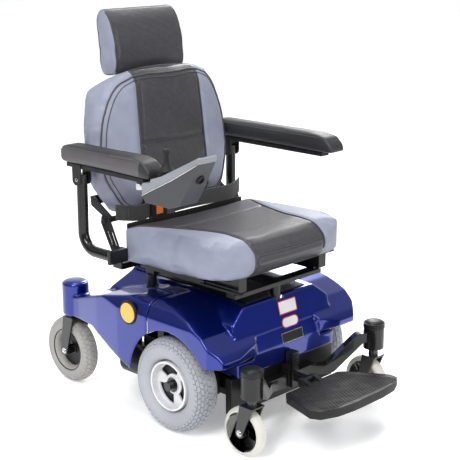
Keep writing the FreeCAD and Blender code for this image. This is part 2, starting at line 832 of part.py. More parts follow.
def shroud_solid(inset):
    """The shroud's outer form, or with an inset the space inside it."""
    half = d.shroud_half_width.value - inset
    deck = d.deck_height.value - inset
    front = -163 + inset
    centre_side = [
        (front, 168 - inset * 2), (front, 216), (-130 + inset * 0.8, deck - 7), (0, deck), (236, deck),
            (266, deck + 30),
        (300, deck + 30), (350 - inset, deck - 50), (383 - inset, deck - 65), (383 - inset, 200 - inset * 2),
        (300, 168 - inset * 2),
    ]
    centre_front = both_halves([
        (0, deck + 40), (118, deck + 40), (134, deck), (192 - inset, deck - 44), (192 - inset, 100), (0, 100),
    ])
    centre = prism("YZ", centre_side, -half, half).common(prism("XZ", centre_front, -300, 600))
    side = [
        (-178 + inset, 215 - inset * 2), (-178 + inset, 232), (-168 + inset, 250 - inset),
            (-125 + inset, 292 - inset),
        (-65, 322 - inset), (0, 340 - inset), (58, 347 - inset), (150, 344 - inset), (270, 320 - inset),
        (380, 286 - inset), (470, 262 - inset), (470, 213.5 - inset * 2), (330, 213.5 - inset * 2),
        (240, 172 - inset * 2), (150, 137 - inset * 2), (60, 137 - inset * 2), (-123, 215 - inset * 2),
    ]
    plan = both_halves([
        (0, -150), (118, -150), (128, -166 + inset), (200, -178 + inset), (266, -178 + inset), (half, -150),
        (half, 200), (half - 10, 300), (half - 26, 400), (262 - inset, 462), (215, 462),
            (196 - inset, 383 - inset),
        (0, 383 - inset),
    ])
    shoulders = both_halves([
        (0, 400), (150, 400), (150, 352 - inset), (248, 347 - inset), (half - 16, 336 - inset),
            (half, 304 - inset),
        (half, 90), (0, 90),
    ])
    fenders = prism("YZ", side, -half, half).common(prism("XY", plan, 0, 500)).common(prism("XZ",
        shoulders, -300, 600))
    solid = centre.fuse(fenders)
    cover_top = d.cover_top.value - inset
    for sign in (1, -1):
        foot = Vector(d.rear_pivot_x.value * sign, d.rear_pivot_y.value, 213.5 - inset * 2)
        solid = solid.fuse(Part.makeCylinder(d.cover_radius.value - inset, cover_top - foot.z, foot))
    return solid


def make_shroud():
    """The moulded cover in three pieces: the middle with both fenders, and a pod at each side."""
    shell = shroud_solid(0).cut(shroud_solid(d.shroud_wall.value))
    for sign in (1, -1):
        start = Vector((d.shroud_half_width.value + 5) * sign, 0, d.drive_radius.value)
        shell = shell.cut(Part.makeCylinder(d.arch_radius.value, d.arch_depth.value + 5, start,
            Vector(-sign, 0, 0)))
        post = Vector(d.rear_post_x.value * sign, d.rear_post_y.value, 250)
        shell = shell.cut(Part.makeCylinder(d.post_hole_radius.value, 200, post))
        shell = shell.cut(rear_arm_passage(sign))
    front_post = Vector(0, d.front_post_y.value, 250)
    shell = shell.cut(Part.makeCylinder(d.post_hole_radius.value, 200, front_post))
    inner = d.pod_inner.value
    front = d.pod_front.value
    gap = d.pod_gap.value
    pods = []
    for sign in (1, -1):
        low, high = sorted((inner * sign, 400 * sign))
        region = Part.makeBox(high - low, 500, 500, Vector(low, front, 0))
        low, high = sorted(((inner + gap) * sign, 400 * sign))
        pod_region = Part.makeBox(high - low, 500, 500, Vector(low, front + gap, 0))
        pods.append(largest(shell.common(pod_region)))
        shell = shell.cut(region)
    finish(feature("shroud_main", largest(shell)), "shroud_main")
    finish(feature("rear_pod_left", pods[0]), "rear_pod_left")
    finish(feature("rear_pod_right", pods[1]), "rear_pod_right")


def rear_arm_passage(sign):
    """The room that a rear arm of the frame needs where it leaves the shroud."""
    room = 4
    start_y = d.frame_rear.value - d.beam_depth.value - room
    end_y = d.rear_pivot_y.value
    outline = [
        ((d.rail_inner.value - room) * sign, start_y), ((d.rail_outer.value + 2 * room) * sign, start_y),
        ((d.rear_pivot_x.value + 13 + 2 * room) * sign, end_y - 6),
            ((d.rear_pivot_x.value - 13 - 2 * room) * sign, end_y + 10),
        ((d.rail_inner.value - room) * sign, start_y + 30),
    ]
    return prism("XY", outline, d.rear_arm_low.value - room, d.rear_arm_high.value + room)


def largest(shape):
    """The largest solid of a shape, with its seams merged."""
    return max(shape.Solids, key=lambda solid: solid.Volume).removeSplitter()


def make_shroud_trim():
    """Matt deck panel on top of the shroud, and the round side reflectors."""
    gap = d.panel_gap
    low = d.deck_height + gap
    top = low + d.deck_panel_thickness
    front_low = d.deck_height - 6 + gap
    panel = pad("deck_plate", "YZ", [
        (d.deck_panel_front, front_low), (0, low), (d.deck_panel_rear, low), (d.deck_panel_rear, top),
            (0, top),
        (d.deck_panel_front, front_low + d.deck_panel_thickness),
    ], -d.deck_panel_half, d.deck_panel_half)
    hole = cylinder("deck_post_hole", "Z", (0, d.front_post_y, 0), d.post_hole_radius, 500)
    finish(cut("deck_panel", panel, hole), "deck_panel")
    discs = []
    for side in (1, -1):
        start = (d.shroud_half_width + gap, d.reflector_y, d.reflector_z)
        if side < 0:
            start = (-d.shroud_half_width - gap - d.reflector_thickness, d.reflector_y, d.reflector_z)
        discs.append(cylinder("reflector_%d" % (side + 1), "X", start, d.reflector_radius,
            d.reflector_thickness))
    finish(group("side_reflectors", *discs), "side_reflectors")


# ---------------------------------------------------------------- seat


def make_seat_support():
    """Three seat posts, and the fixed seat base with its lower slide rails."""
    places = ((0, d.front_post_y), (d.rear_post_x, d.rear_post_y), (-d.rear_post_x, d.rear_post_y))
    posts = []
    for order, (x, y) in enumerate(places):
        start = (x, y, d.seat_beam_high)
        posts.append(cylinder("seat_post_%d" % order, "Z", start, d.post_radius,
            d.post_top - d.seat_beam_high))
    finish(group("seat_posts", *posts), "seat_posts")
    low = d.post_top
    high = low + d.seat_base_height
    half = d.seat_base_width / 2
    reach = d.slide_x + d.slide_half_width
    rail_top = high + d.slide_height
    pieces = [
        box("base_spine", (-half, half), (d.front_post_y - half, d.rear_post_y + half), (low, high)),
        box("base_front", (-reach, reach), (d.front_post_y - half, d.front_post_y + half), (low, high)),
        box("base_rear", (-reach, reach), (d.rear_post_y - half, d.rear_post_y + half), (low, high)),
    ]
    for side in (1, -1):
        rail_x = ordered((d.slide_x - d.slide_half_width) * side, (d.slide_x + d.slide_half_width) * side)
        pieces.append(box("lower_rail_%d" % (side + 1), rail_x, (d.slide_front, d.slide_rear),
            (high, rail_top)))
    finish(fuse("seat_base", *pieces), "seat_base")


def seat_bottom_at(y):
    """The height of the cushion's underside at a place along the seat."""
    slope = (d.seat_bottom_rear - d.seat_bottom_front) / (d.seat_rear - d.seat_front)
    return d.seat_bottom_rear + (y - d.seat_rear) * slope


def make_seat():
    """Seat frame with its upper slide rails and pan, the cushion and the slide lever."""
    rail_low = d.post_top + d.seat_base_height + d.slide_height + d.slide_gap
    front = d.seat_front + 26
    rear = d.seat_rear - 4
    gap = d.cushion_gap
    pan = d.pan_thickness
    pieces = [pad("seat_pan", "YZ", [
        (front, seat_bottom_at(front) - gap - pan), (rear, seat_bottom_at(rear) - gap - pan),
        (rear, seat_bottom_at(rear) - gap), (front, seat_bottom_at(front) - gap),
    ], -d.pan_half, d.pan_half)]
    for side in (1, -1):
        low, high = ordered((d.slide_x - d.upper_rail_half_width) * side,
            (d.slide_x + d.upper_rail_half_width) * side)
        pieces.append(pad("upper_rail_%d" % (side + 1), "YZ", [
            (front, rail_low), (d.slide_rear, rail_low), (d.slide_rear, seat_bottom_at(rear) - gap - pan / 2),
            (rear, seat_bottom_at(rear) - gap - pan / 2), (front, seat_bottom_at(front) - gap - pan / 2),
        ], low, high))
    tube = (d.seat_rear + 4, d.seat_rear + 24)
    tube_z = (rail_low + 2, rail_low + 20)
    pieces.append(box("rear_cross_tube", (-d.bracket_inner, d.bracket_inner), tube, tube_z))
    lever_x = -d.slide_x - d.upper_rail_half_width
    lever_y = d.seat_front + 140
    pin_z = rail_low + 4
    pieces.append(box("lever_ear", (lever_x - 22, lever_x + 1), (lever_y - 8, lever_y + 8),
        (pin_z + 8, pin_z + 14)))
    pieces.append(cylinder("lever_pivot", "Z", (lever_x - 14, lever_y, pin_z - 1), d.lever_pin_radius, 10))
    finish(fuse("seat_frame", *pieces), "seat_frame")
    blade = box("slide_blade", (lever_x - 20, lever_x - 8), (d.seat_front - 2, lever_y + 8),
        (pin_z, pin_z + 5))
    eye = cylinder("slide_eye", "Z", (lever_x - 14, lever_y, pin_z - 1),
        d.lever_pin_radius + d.running_gap, 10)
    finish(cut("slide_lever", blade, eye), "slide_lever")

    side = pad("cushion_side", "YZ", [
        (d.seat_rear, d.seat_bottom_rear), (d.seat_rear, d.seat_top - 10), (d.seat_rear - 60, d.seat_top - 8),
        (d.seat_front + 110, d.seat_top), (d.seat_front + 30, d.seat_top - 6),
            (d.seat_front + 4, d.seat_top - 32),
        (d.seat_front, d.seat_top - 60), (d.seat_front + 14, seat_bottom_at(d.seat_front + 14)),
    ], -d.seat_half_width, d.seat_half_width)
    outline = both_sides([
        (d.seat_front_half, d.seat_front), (d.seat_half_width - 30, d.seat_front + 24),
        (d.seat_half_width - 2, d.seat_front + 76), (d.seat_half_width, 60), (d.seat_rear_half, d.seat_rear),
    ])
    plan = pad("cushion_plan", "XY", outline, d.seat_bottom_rear - 20, d.seat_top + 20,
               rounds=[(1, 40), (2, 60), (7, 60), (8, 40)])
    finish(common("seat_cushion", side, plan), "seat_cushion")


def both_sides(outline):
    """A left-hand outline of sizes with its mirror image."""
    return list(outline) + [(-sized(u), v) for u, v in reversed(outline)]


def make_brackets():
    """Recline brackets at the rear corners of the seat frame, with their slots and pivot holes."""
    low = d.bracket_inner
    high = low + d.bracket_thickness
    y = d.recline_y
    z = d.recline_z
    plate = pad("bracket_plate", "YZ", [
        (d.seat_rear + 2, d.seat_bottom_rear - 22), (d.seat_rear + 38, d.seat_bottom_rear - 22),
            (y - 26, z - 84),
        (y + 18, z - 8), (y + 14, z + 16), (y - 14, z + 16), (d.seat_rear + 12, z - 66),
            (d.seat_rear + 2, z - 80),
    ], low, high, rounds=[(4, 10), (5, 10)])
    hole = cylinder("bracket_hole", "X", (low - 1, y, z), d.recline_pin_radius + d.running_gap,
        d.bracket_thickness + 2)
    slots = []
    for order, shift in enumerate((0, 17)):
        slots.append(pad("bracket_slot_%d" % order, "YZ", [
            (y - 48 + shift, z - 62), (y - 42 + shift, z - 64), (y - 24 + shift, z - 30),
                (y - 30 + shift, z - 28),
        ], low - 1, high + 1))
    receiver = box("post_receiver", (high, d.arm_x + 19), (d.arm_leg_front - 12, d.arm_leg_front - 0.2),
                   (d.arm_leg_z - 18, d.arm_leg_z + 18))
    web = box("receiver_web", (low, high + 1), (d.arm_leg_front - 12, d.seat_rear + 6),
        (d.arm_leg_z - 18, d.arm_leg_z + 18))
    left = cut("bracket_left", fuse("bracket_body", plate, receiver, web), hole, *slots)
    finish(group("recline_brackets", left, mirror("bracket_right", left)), "recline_brackets")


def tube_path(corners, bends):
    """A wire through the corners with a tangent arc of the given radius at each inner one."""
    edges = []
    start = corners[0]
    for index in range(1, len(corners) - 1):
        corner = corners[index]
        before = (corners[index - 1] - corner).normalize()
        after = (corners[index + 1] - corner).normalize()
        angle = before.getAngle(after)
        radius = bends[index - 1]
        setback = radius / math.tan(angle / 2)
        first = corner + before * setback
        last = corner + after * setback
        centre = corner + (before + after).normalize() * (radius / math.sin(angle / 2))
        middle = centre + (corner - centre).normalize() * radius
        edges.append(Part.LineSegment(start, first).toShape())
        edges.append(Part.Arc(first, middle, last).toShape())
        start = last
    edges.append(Part.LineSegment(start, corners[-1]).toShape())
    return Part.Wire(edges)


def make_arm_posts():
    """Bent tube at each side that carries an armrest, with a bored head for the hinge pin."""
    x = d.arm_x.value
    y = d.arm_post_y.value
    leg_z = d.arm_leg_z.value
    top = d.arm_pivot_z.value + d.arm_post_radius.value
    corners = [Vector(x, d.arm_leg_front.value, leg_z), Vector(x, y, leg_z), Vector(x, y, top)]
    path = tube_path(corners, [d.arm_post_bend.value])
    ring = Part.Wire(Part.makeCircle(d.arm_post_radius.value, corners[0], Vector(0, 1, 0)))
    tube = path.makePipeShell([ring], True, True)
    bore = d.arm_pin_radius.value + d.running_gap.value
    hole = Part.makeCylinder(bore, 100, Vector(x - 50, y, d.arm_pivot_z.value), Vector(1, 0, 0))
    tube = tube.cut(hole)
    flip = FreeCAD.Matrix()
    flip.A11 = -1
    finish(feature("arm_posts", Part.makeCompound([tube, tube.transformGeometry(flip)])), "arm_posts")


def make_armrest(tag, sign, rail_front, pad_front):
    """Rail with its hinge ears and pin, and the pad, for one side."""
    x = d.arm_x * sign
    y = d.arm_post_y
    z = d.arm_pivot_z
    top = d.arm_rail_low + d.arm_rail_height
    half = d.arm_rail_half
    rail = box("rail_bar_" + tag, (x - half, x + half), (rail_front, d.arm_rail_rear), (d.arm_rail_low, top))
    reach = d.arm_post_radius + d.arm_ear_gap
    plate = reach + d.arm_ear
    bridge = box("rail_bridge_" + tag, (x - plate, x + plate), (y - 18, y + 18), (d.arm_rail_low, top))
    pieces = [rail, bridge]
    for order, (low, high) in enumerate(((reach, plate), (-plate, -reach))):
        pieces.append(pad("rail_ear_%s_%d" % (tag, order), "YZ", [
            (y - 18, d.arm_rail_low + 1), (y - 18, z - 16), (y + 18, z - 16), (y + 18, d.arm_rail_low + 1),
        ], x + low, x + high, rounds=[(1, 15), (2, 15)]))
    pin = cylinder("rail_pin_" + tag, "X", (x - plate, y, z), d.arm_pin_radius, plate * 2)
    pieces.append(pin)
    if sign < 0:
        start = (x, d.link_y, d.link_low)
        pieces.append(cylinder("rail_link_pin", "Z", start, d.link_pin_radius,
            d.arm_rail_low - d.link_low + 1))
    finish(fuse("arm_rail_" + tag, *pieces), "arm_rail_" + tag)
    low = d.pad_low
    high = low + d.pad_height
    body = pad("pad_side_" + tag, "YZ", [
        (pad_front, low + 2), (pad_front + 8, low), (d.pad_rear - 8, low), (d.pad_rear, low + 8),
        (d.pad_rear, high - 16), (d.pad_rear - 14, high - 3), (pad_front + 60, high),
            (pad_front + 26, high - 8),
        (pad_front + 4, high - 30),
    ], x - d.pad_half, x + d.pad_half)
    finish(body, "arm_pad_" + tag)


# ---------------------------------------------------------------- backrest and headrest


def make_backrest():
    """Back cushion, its frame with the headrest guides, the headrest and its rods."""
    rear = d.back_rear
    front = d.back_front
    outline = both_sides([
        (d.back_bottom_half - 10, d.back_bottom), (d.back_bottom_half, d.back_bottom + 10),
        (d.back_half_width - 3, 116), (d.back_half_width, 190), (d.back_half_width - 4, 268),
        (d.back_top_half + 34, d.back_top - 50), (d.back_top_half, d.back_top - 12),
            (d.back_top_half - 70, d.back_top),
    ])
    face = pad("back_face", "XZ", outline, front - 1, rear + 1)
    side = pad("back_side", "YZ", [
        (front + 6, d.back_bottom), (front, d.back_bottom + 40), (front, d.back_top - 14),
            (front + 10, d.back_top),
        (rear, d.back_top_rear), (rear, 120), (-front - 2, d.back_bottom),
    ], -d.back_half_width, d.back_half_width)
    plan = pad("back_plan", "XY", both_sides([
        (d.back_half_width, front), (d.back_half_width, rear - 26), (d.back_half_width - 40, rear),
    ]), 0, d.back_top + 10)
    guide = d.rod_radius + d.running_gap + d.guide_wall
    holes = []
    guides = []
    rods = []
    for side_sign in (1, -1):
        x = d.rod_x * side_sign
        tag = "%d" % (side_sign + 1)
        start = (x, d.rod_y, d.guide_bottom - 1)
        holes.append(cylinder("guide_hole_" + tag, "Z", start, guide + d.guide_gap, 300))
        start = (x, d.rod_y, d.guide_bottom)
        length = d.guide_top - d.guide_bottom
        outer = cylinder("guide_outer_" + tag, "Z", start, guide, length)
        bore = cylinder("guide_bore_" + tag, "Z", (x, d.rod_y, d.guide_bottom - 1),
            d.rod_radius + d.running_gap, 300)
        guides.append(cut("guide_" + tag, outer, bore))
        start = (x, d.rod_y, d.rod_bottom)
        rods.append(cylinder("rod_" + tag, "Z", start, d.rod_radius, d.headrest_bottom - d.rod_bottom + 60))
    finish_leaning(cut("back_cushion", common("back_solid", face, side, plan), *holes), "back_cushion")

    plate = d.back_plate
    behind = rear + 0.5
    inner = d.back_arm_x
    reach = d.bracket_inner - 0.5
    pieces = [
        cylinder("pivot_tube", "X", (-reach, 0, 0), d.back_tube_radius, reach * 2),
        cylinder("pivot_pin", "X", (-reach - 9, 0, 0), d.recline_pin_radius, reach * 2 + 18),
        box("back_cross", (-inner - plate, inner + plate), (behind, behind + plate), (36, 62)),
        box("back_panel", (-d.back_panel_half, d.back_panel_half), (behind, behind + plate),
            (36, d.back_panel_top)),
    ]
    for side_sign in (1, -1):
        tag = "%d" % (side_sign + 1)
        low, high = ordered(inner * side_sign, (inner + plate) * side_sign)
        pieces.append(pad("back_arm_" + tag, "YZ", [
            (-9, -6), (4, -9), (behind + plate, 36), (behind + plate, 62), (behind - 8, 62), (-6, 8),
        ], low, high))
    finish_leaning(group("back_frame", fuse("back_frame_welded", *pieces), *guides), "back_frame")

    bottom = d.headrest_bottom
    top = bottom + d.headrest_height
    front = d.headrest_front
    rear = d.headrest_rear
    pillow = pad("headrest_pillow", "YZ", [
        (front + 12, bottom), (front, bottom + 34), (front, bottom + 96), (front + 12, bottom + 146),
        (front + 36, top - 4), (front + 52, top), (rear - 8, top - 10), (rear, top - 50), (rear, bottom + 20),
        (rear - 12, bottom),
    ], -d.headrest_half, d.headrest_half)
    sockets = []
    for side_sign in (1, -1):
        start = (d.rod_x * side_sign, d.rod_y, bottom - 1)
        sockets.append(cylinder("rod_socket_%d" % (side_sign + 1), "Z", start, d.rod_radius, 61))
    finish_leaning(cut("headrest_cushion", pillow, *sockets), "headrest_cushion")
    finish_leaning(group("headrest_rods", *rods), "headrest_rods")


# ---------------------------------------------------------------- controller


def make_controller():
    """Joystick controller on the right armrest, with its swing-away link."""
    x = -d.arm_x
    half = d.case_half
    rear = d.case_rear
    lower_body = pad("case_lower_body", "YZ", [
        (rear, 645), (rear - 14, 629), (-50, 628), (-84, 640), (-112, 684), (-148, 752), (-60, 702),
    ], x - half, x + half)
    upper_body = pad("case_upper_body", "YZ", [
        (rear, 646), (rear, 676), (rear - 8, 680), (22, 682.5), (21, 692), (-20, 706), (-150, 770),
        (-154, 765), (-148.5, 753), (-60, 703),
    ], x - half, x + half)
    well_start = (x, d.stick_y, d.stick_well_floor)
    well_low = cylinder("stick_well_low", "Z", well_start, d.stick_well_radius, 60)
    well_high = cylinder("stick_well_high", "Z", well_start, d.stick_well_radius, 60)
    finish(cut("controller_lower", lower_body, well_low), "controller_lower")
    pocket = tilted_cylinder("button_pocket", d.button_radius + d.button_gap,
        d.button_depth + 4 * d.button_proud,
                             -d.button_depth - 2 * d.button_proud)
    finish(cut("controller_upper", upper_body, well_high, pocket), "controller_upper")
    button = tilted_cylinder("button_body", d.button_radius, d.button_depth + d.button_proud, -d.button_depth)
    finish(group("power_button", button), "power_button")

    eye = cylinder("link_eye", "Z", (x, d.link_y, d.link_low), d.link_radius, d.link_top - d.link_low)
    arm = box("link_arm", (x - 9, x + 9), (rear, d.link_y), (d.link_low + 2, d.link_top - 4))
    bore = cylinder("link_bore", "Z", (x, d.link_y, d.link_low - 1), d.link_pin_radius + d.running_gap, 30)
    finish(cut("controller_link", fuse("link_body", eye, arm), bore), "controller_link")

    ring_low = d.stick_pivot_z - d.ring_thickness / 2
    centre = (x, d.stick_y, ring_low)
    ring = cut(
        "gimbal_ring",
        cylinder("ring_outside", "Z", centre, d.ring_outer, d.ring_thickness),
        cylinder("ring_inside", "Z", (x, d.stick_y, ring_low - 1), d.ring_inner, d.ring_thickness + 2),
    )
    finish(group("joystick_gimbal", ring), "joystick_gimbal")
    pivot = d.stick_pivot_z
    stick = revolve("stick_body", [
        (pivot - 8, 0), (pivot - 8, 5), (pivot - 4, 9), (pivot + 6, 9), (pivot + 11, 19), (pivot + 15, 19.5),
        (pivot + 24, 12), (pivot + 34, 7.5), (pivot + 50, 6), (d.stick_top - 10, 9), (d.stick_top - 3, 9),
        (d.stick_top, 6), (d.stick_top, 0),
    ], axis="Z")
    finish(stick, "joystick", x, d.stick_y, 0)


def tilted_cylinder(name, radius, length, start):
    """A cylinder square to the controller's panel, starting a distance along the panel's normal."""
    angle = math.radians(d.panel_angle.value)
    item = doc.addObject("Part::Cylinder", name)
    item.Placement = Placement(Vector(), Rotation(Vector(1, 0, 0), -d.panel_angle.value))
    bind(item, Radius=radius, Height=length, Placement__Base__x=-d.arm_x)
    bind(item, Placement__Base__y=d.button_y + start * math.sin(angle))
    bind(item, Placement__Base__z=d.button_z + start * math.cos(angle))
    return item


# ---------------------------------------------------------------- lap belt


def make_belt():
    """Two webbing straps behind the cushion, the buckle with its button, and the tongue."""
    low = d.belt_low
    high = low + d.belt_width
    y = d.belt_y
    thick = d.belt_thickness
    buckle_right = d.buckle_left - d.buckle_length
    tongue_left = d.buckle_left + d.tongue_length
    right = pad("strap_right", "XY", [
        (-d.belt_end, y + 4), (buckle_right, y), (buckle_right, y + thick), (-d.belt_end, y + 4 + thick),
    ], low, high)
    left = pad("strap_left", "XY", [
        (tongue_left, y), (d.belt_end, y + 8), (d.belt_end, y + 8 + thick), (tongue_left, y + thick),
    ], low, high)
    finish(group("belt_straps", right, left), "belt_straps")
    front = d.buckle_front
    rear = front + d.buckle_depth
    case = box("buckle_case", (buckle_right, d.buckle_left), (front, rear), (low - 2, high - 2))
    middle = d.buckle_left - d.buckle_length / 2
    half = d.buckle_button_half
    centre = low + d.belt_width / 2 - 2
    pocket = box("buckle_pocket", (middle - half - 0.4, middle + half + 0.4), (front - 1, front + 8),
                 (centre - half - 0.4, centre + half + 0.4))
    finish(cut("belt_buckle", case, pocket), "belt_buckle")
    button = box("buckle_button_body", (middle - half, middle + half), (front - 1, front + 4),
        (centre - half, centre + half))
    finish(group("buckle_button", button), "buckle_button")
    tongue = box("tongue_body", (d.buckle_left, tongue_left), (front + 3, rear - 3), (low + 2, high - 6))
    finish(group("belt_tongue", tongue), "belt_tongue")


# ---------------------------------------------------------------- footrest


def make_footrest():
    """Sliding footrest post with its hinge block, and the folding footplate."""
    half = d.footrest_width / 2
    y = d.footrest_y
    post = box("footrest_bar", (-half, half), (y - half, y + half),
        (d.footrest_post_low, d.footrest_post_top))
    hinge = cylinder("hinge_barrel", "X", (-d.hinge_half / 2, d.hinge_y, d.hinge_z), d.hinge_radius,
        d.hinge_half)
    neck = box("hinge_neck", (2 - half, half - 2), (d.hinge_y + 4, y - half + 1),
        (d.hinge_z - 12, d.hinge_z + 8))
    pin = cylinder("hinge_pin", "X", (-d.hinge_half, d.hinge_y, d.hinge_z), d.hinge_pin_radius,
        d.hinge_half * 2)
    finish(fuse("footrest_post_body", post, neck, hinge, pin), "footrest_post")

    low = d.footplate_top - d.footplate_thickness
    outline = both_sides([
        (d.footplate_rear_half, d.footplate_rear), (d.footplate_rear_half + 12, d.footplate_rear - 12),
        (d.footplate_front_half, d.footplate_front + 58),
            (d.footplate_front_half - 8, d.footplate_front + 30),
        (d.footplate_front_half - 50, d.footplate_front + 8),
            (d.footplate_front_half - 110, d.footplate_front),
    ])
    plate = pad("footplate_plate", "XY", outline, low, d.footplate_top)
    plate.Placement = Placement(Vector(), Rotation(Vector(1, 0, 0), -d.footplate_tilt.value))
    rise = math.sin(math.radians(d.footplate_tilt.value))
    level = 1 - math.cos(math.radians(d.footplate_tilt.value))
    bind(plate, Placement__Base__y=d.footplate_rear * level - d.footplate_top * rise)
    bind(plate, Placement__Base__z=d.footplate_top * level + d.footplate_rear * rise)
    ears = []
    for order, (near, far) in enumerate(((d.hinge_half / 2 + 0.5, d.hinge_half), (-d.hinge_half,
        -d.hinge_half / 2 - 0.5))):
        ears.append(pad("footplate_ear_%d" % order, "YZ", [
            (d.hinge_y + 9, d.hinge_z + 9), (d.hinge_y + 9, d.hinge_z - 9), (d.hinge_y - 4, d.hinge_z - 22),
            (d.footplate_rear - 30, d.hinge_z - 22), (d.footplate_rear - 30, d.hinge_z - 6),
                (d.hinge_y - 9, d.hinge_z + 9),
        ], near, far))
    hole = cylinder("footplate_hole", "X", (-d.hinge_half - 1, d.hinge_y, d.hinge_z),
                    d.hinge_pin_radius + d.running_gap, d.hinge_half * 2 + 2)
    finish(cut("footplate_whole", fuse("footplate_body", plate, *ears), hole), "footplate")


# ---------------------------------------------------------------- build and check


def check_document():
    """Stop if any object failed, or any sub-part has no valid solid."""
    for item in doc.Objects:
        faults = [state for state in item.State if state in ("Invalid", "Error")]
        if faults:
            raise RuntimeError("%s is %s" % (item.Name, faults))
    for item in SUBPARTS:
        if item.Shape.isNull() or not item.Shape.isValid() or not item.Shape.Solids:
            raise RuntimeError(item.Label + " has no valid solid")


def write_parts():
    """Write each sub-part to its own file."""
    os.makedirs("parts", exist_ok=True)
    for item in SUBPARTS:
        item.Shape.exportStep(os.path.join("parts", item.Label + ".step"))


make_drive_wheels()
make_casters("front_caster", d.front_pivot_x, d.front_pivot_y, d.front_trail, d.front_wheel_radius,
             d.front_tyre_depth, d.front_tyre_width, d.front_stem_radius, d.front_barrel_low,
                 d.front_barrel_high)
make_casters("rear_caster", d.rear_pivot_x, d.rear_pivot_y, d.rear_trail, d.rear_wheel_radius,
             d.rear_tyre_depth, d.rear_tyre_width, d.rear_stem_radius, d.rear_barrel_low, d.rear_barrel_high)
make_base_frame()
make_front_arms()
make_motors()
make_power_pack()
make_shroud()
make_shroud_trim()
make_seat_support()
make_seat()
make_brackets()
make_arm_posts()
make_armrest("right", -1, d.right_rail_front, d.right_pad_front)
make_armrest("left", 1, d.left_rail_front, d.left_pad_front)
make_backrest()
make_controller()
make_belt()
make_footrest()
doc.recompute()
check_document()
write_parts()
print(len(SUBPARTS), "sub-parts")
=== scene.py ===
import math

import bmesh
import bpy
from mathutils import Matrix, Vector
from mathutils.bvhtree import BVHTree


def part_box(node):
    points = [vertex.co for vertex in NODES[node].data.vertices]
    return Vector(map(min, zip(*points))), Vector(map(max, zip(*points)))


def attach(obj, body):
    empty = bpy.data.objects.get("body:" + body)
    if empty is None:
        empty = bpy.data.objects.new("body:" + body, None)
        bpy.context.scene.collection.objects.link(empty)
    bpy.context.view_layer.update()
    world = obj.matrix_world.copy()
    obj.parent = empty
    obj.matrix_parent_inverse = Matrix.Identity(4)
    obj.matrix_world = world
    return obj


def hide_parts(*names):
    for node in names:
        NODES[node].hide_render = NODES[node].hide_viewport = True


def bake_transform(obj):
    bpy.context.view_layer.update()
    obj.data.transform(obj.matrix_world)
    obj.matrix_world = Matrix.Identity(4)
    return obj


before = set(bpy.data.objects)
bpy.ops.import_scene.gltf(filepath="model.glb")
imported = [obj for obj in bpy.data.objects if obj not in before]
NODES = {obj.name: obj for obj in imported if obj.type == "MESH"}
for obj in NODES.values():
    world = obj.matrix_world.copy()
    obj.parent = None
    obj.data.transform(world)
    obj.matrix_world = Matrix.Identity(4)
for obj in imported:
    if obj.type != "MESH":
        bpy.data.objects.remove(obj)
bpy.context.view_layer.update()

# The chair faces -Y and +X is the occupant's left.  Places below are worked out from the frame's
# boxes; lengths are in metres.
MM = 0.001
SIDES = (("left", 1), ("right", -1))
DRIVE_LOW, DRIVE_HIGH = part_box("drive_tyre_left")
AXLE = Vector((0, (DRIVE_LOW[1] + DRIVE_HIGH[1]) / 2, DRIVE_HIGH[2] / 2))


def at(x, y, z):
    """A point given in millimetres, with y counted from the drive axle."""
    return Vector((x * MM, AXLE.y + y * MM, z * MM))


# ---------------------------------------------------------------- materials


class Graph:
    """A material's node graph, with short calls for the nodes used here."""

    def __init__(self, name):
        self.material = bpy.data.materials.new(name)
        self.material.use_nodes = True
        self.tree = self.material.node_tree
        self.shader = self.tree.nodes["Principled BSDF"]
        self.place = self.tree.nodes.new("ShaderNodeTexCoord").outputs["Object"]

    def link(self, source, target):
        self.tree.links.new(source, target)

    def fill(self, socket, amount):
        if isinstance(amount, bpy.types.NodeSocket):
            self.link(amount, socket)
        elif amount is not None:
            socket.default_value = amount

    def node(self, kind, settings=None, **inputs):
        """A new node with its settings, and then its inputs filled by name."""
        node = self.tree.nodes.new(kind)
        for name, value in (settings or {}).items():
            setattr(node, name, value)
        for name, amount in inputs.items():
            self.fill(node.inputs[name.replace("_", " ")], amount)
        return node

    def math(self, kind, first, second=None):
        node = self.node("ShaderNodeMath", {"operation": kind})
        self.fill(node.inputs[0], first)
        self.fill(node.inputs[1], second)
        return node.outputs[0]

    def noise(self, scale, detail=3.0, roughness=0.5):
        node = self.node("ShaderNodeTexNoise", Scale=scale, Detail=detail, Roughness=roughness,
                         Vector=self.place)
        return node.outputs["Fac"]

    def cells(self, scale):
        return self.node("ShaderNodeTexVoronoi", Scale=scale, Vector=self.place).outputs["Distance"]

    def axes(self):
        return self.node("ShaderNodeSeparateXYZ", Vector=self.place).outputs[:3]

    def spread(self, source, low, high, out_low, out_high):
        node = self.node("ShaderNodeMapRange", Value=source, From_Min=low, From_Max=high, To_Min=out_low,
                         To_Max=out_high)
        return node.outputs["Result"]

    def blend(self, factor, first, second):
        node = self.node("ShaderNodeMix", {"data_type": "RGBA"}, Factor=factor, A=first, B=second)
        return node.outputs["Result"]

    def mix(self, factor, first, second):
        return self.node("ShaderNodeMix", Factor=factor, A=first, B=second).outputs["Result"]

    def bump(self, height, depth, strength=1.0, below=None):
        node = self.node("ShaderNodeBump", Height=height, Distance=depth, Strength=strength, Normal=below)
        return node.outputs["Normal"]

    def finish(self, color, roughness, normal=None, metallic=0.0, coat=0.0, sheen=0.0, specular=0.5):
        self.fill(self.shader.inputs["Base Color"], color)
        self.fill(self.shader.inputs["Roughness"], roughness)
        self.fill(self.shader.inputs["Metallic"], metallic)
        self.fill(self.shader.inputs["Coat Weight"], coat)
        self.shader.inputs["Coat Roughness"].default_value = 0.04
        self.fill(self.shader.inputs["Sheen Weight"], sheen)
        self.shader.inputs["Specular IOR Level"].default_value = specular
        if normal is not None:
            self.link(normal, self.shader.inputs["Normal"])
        return self.material


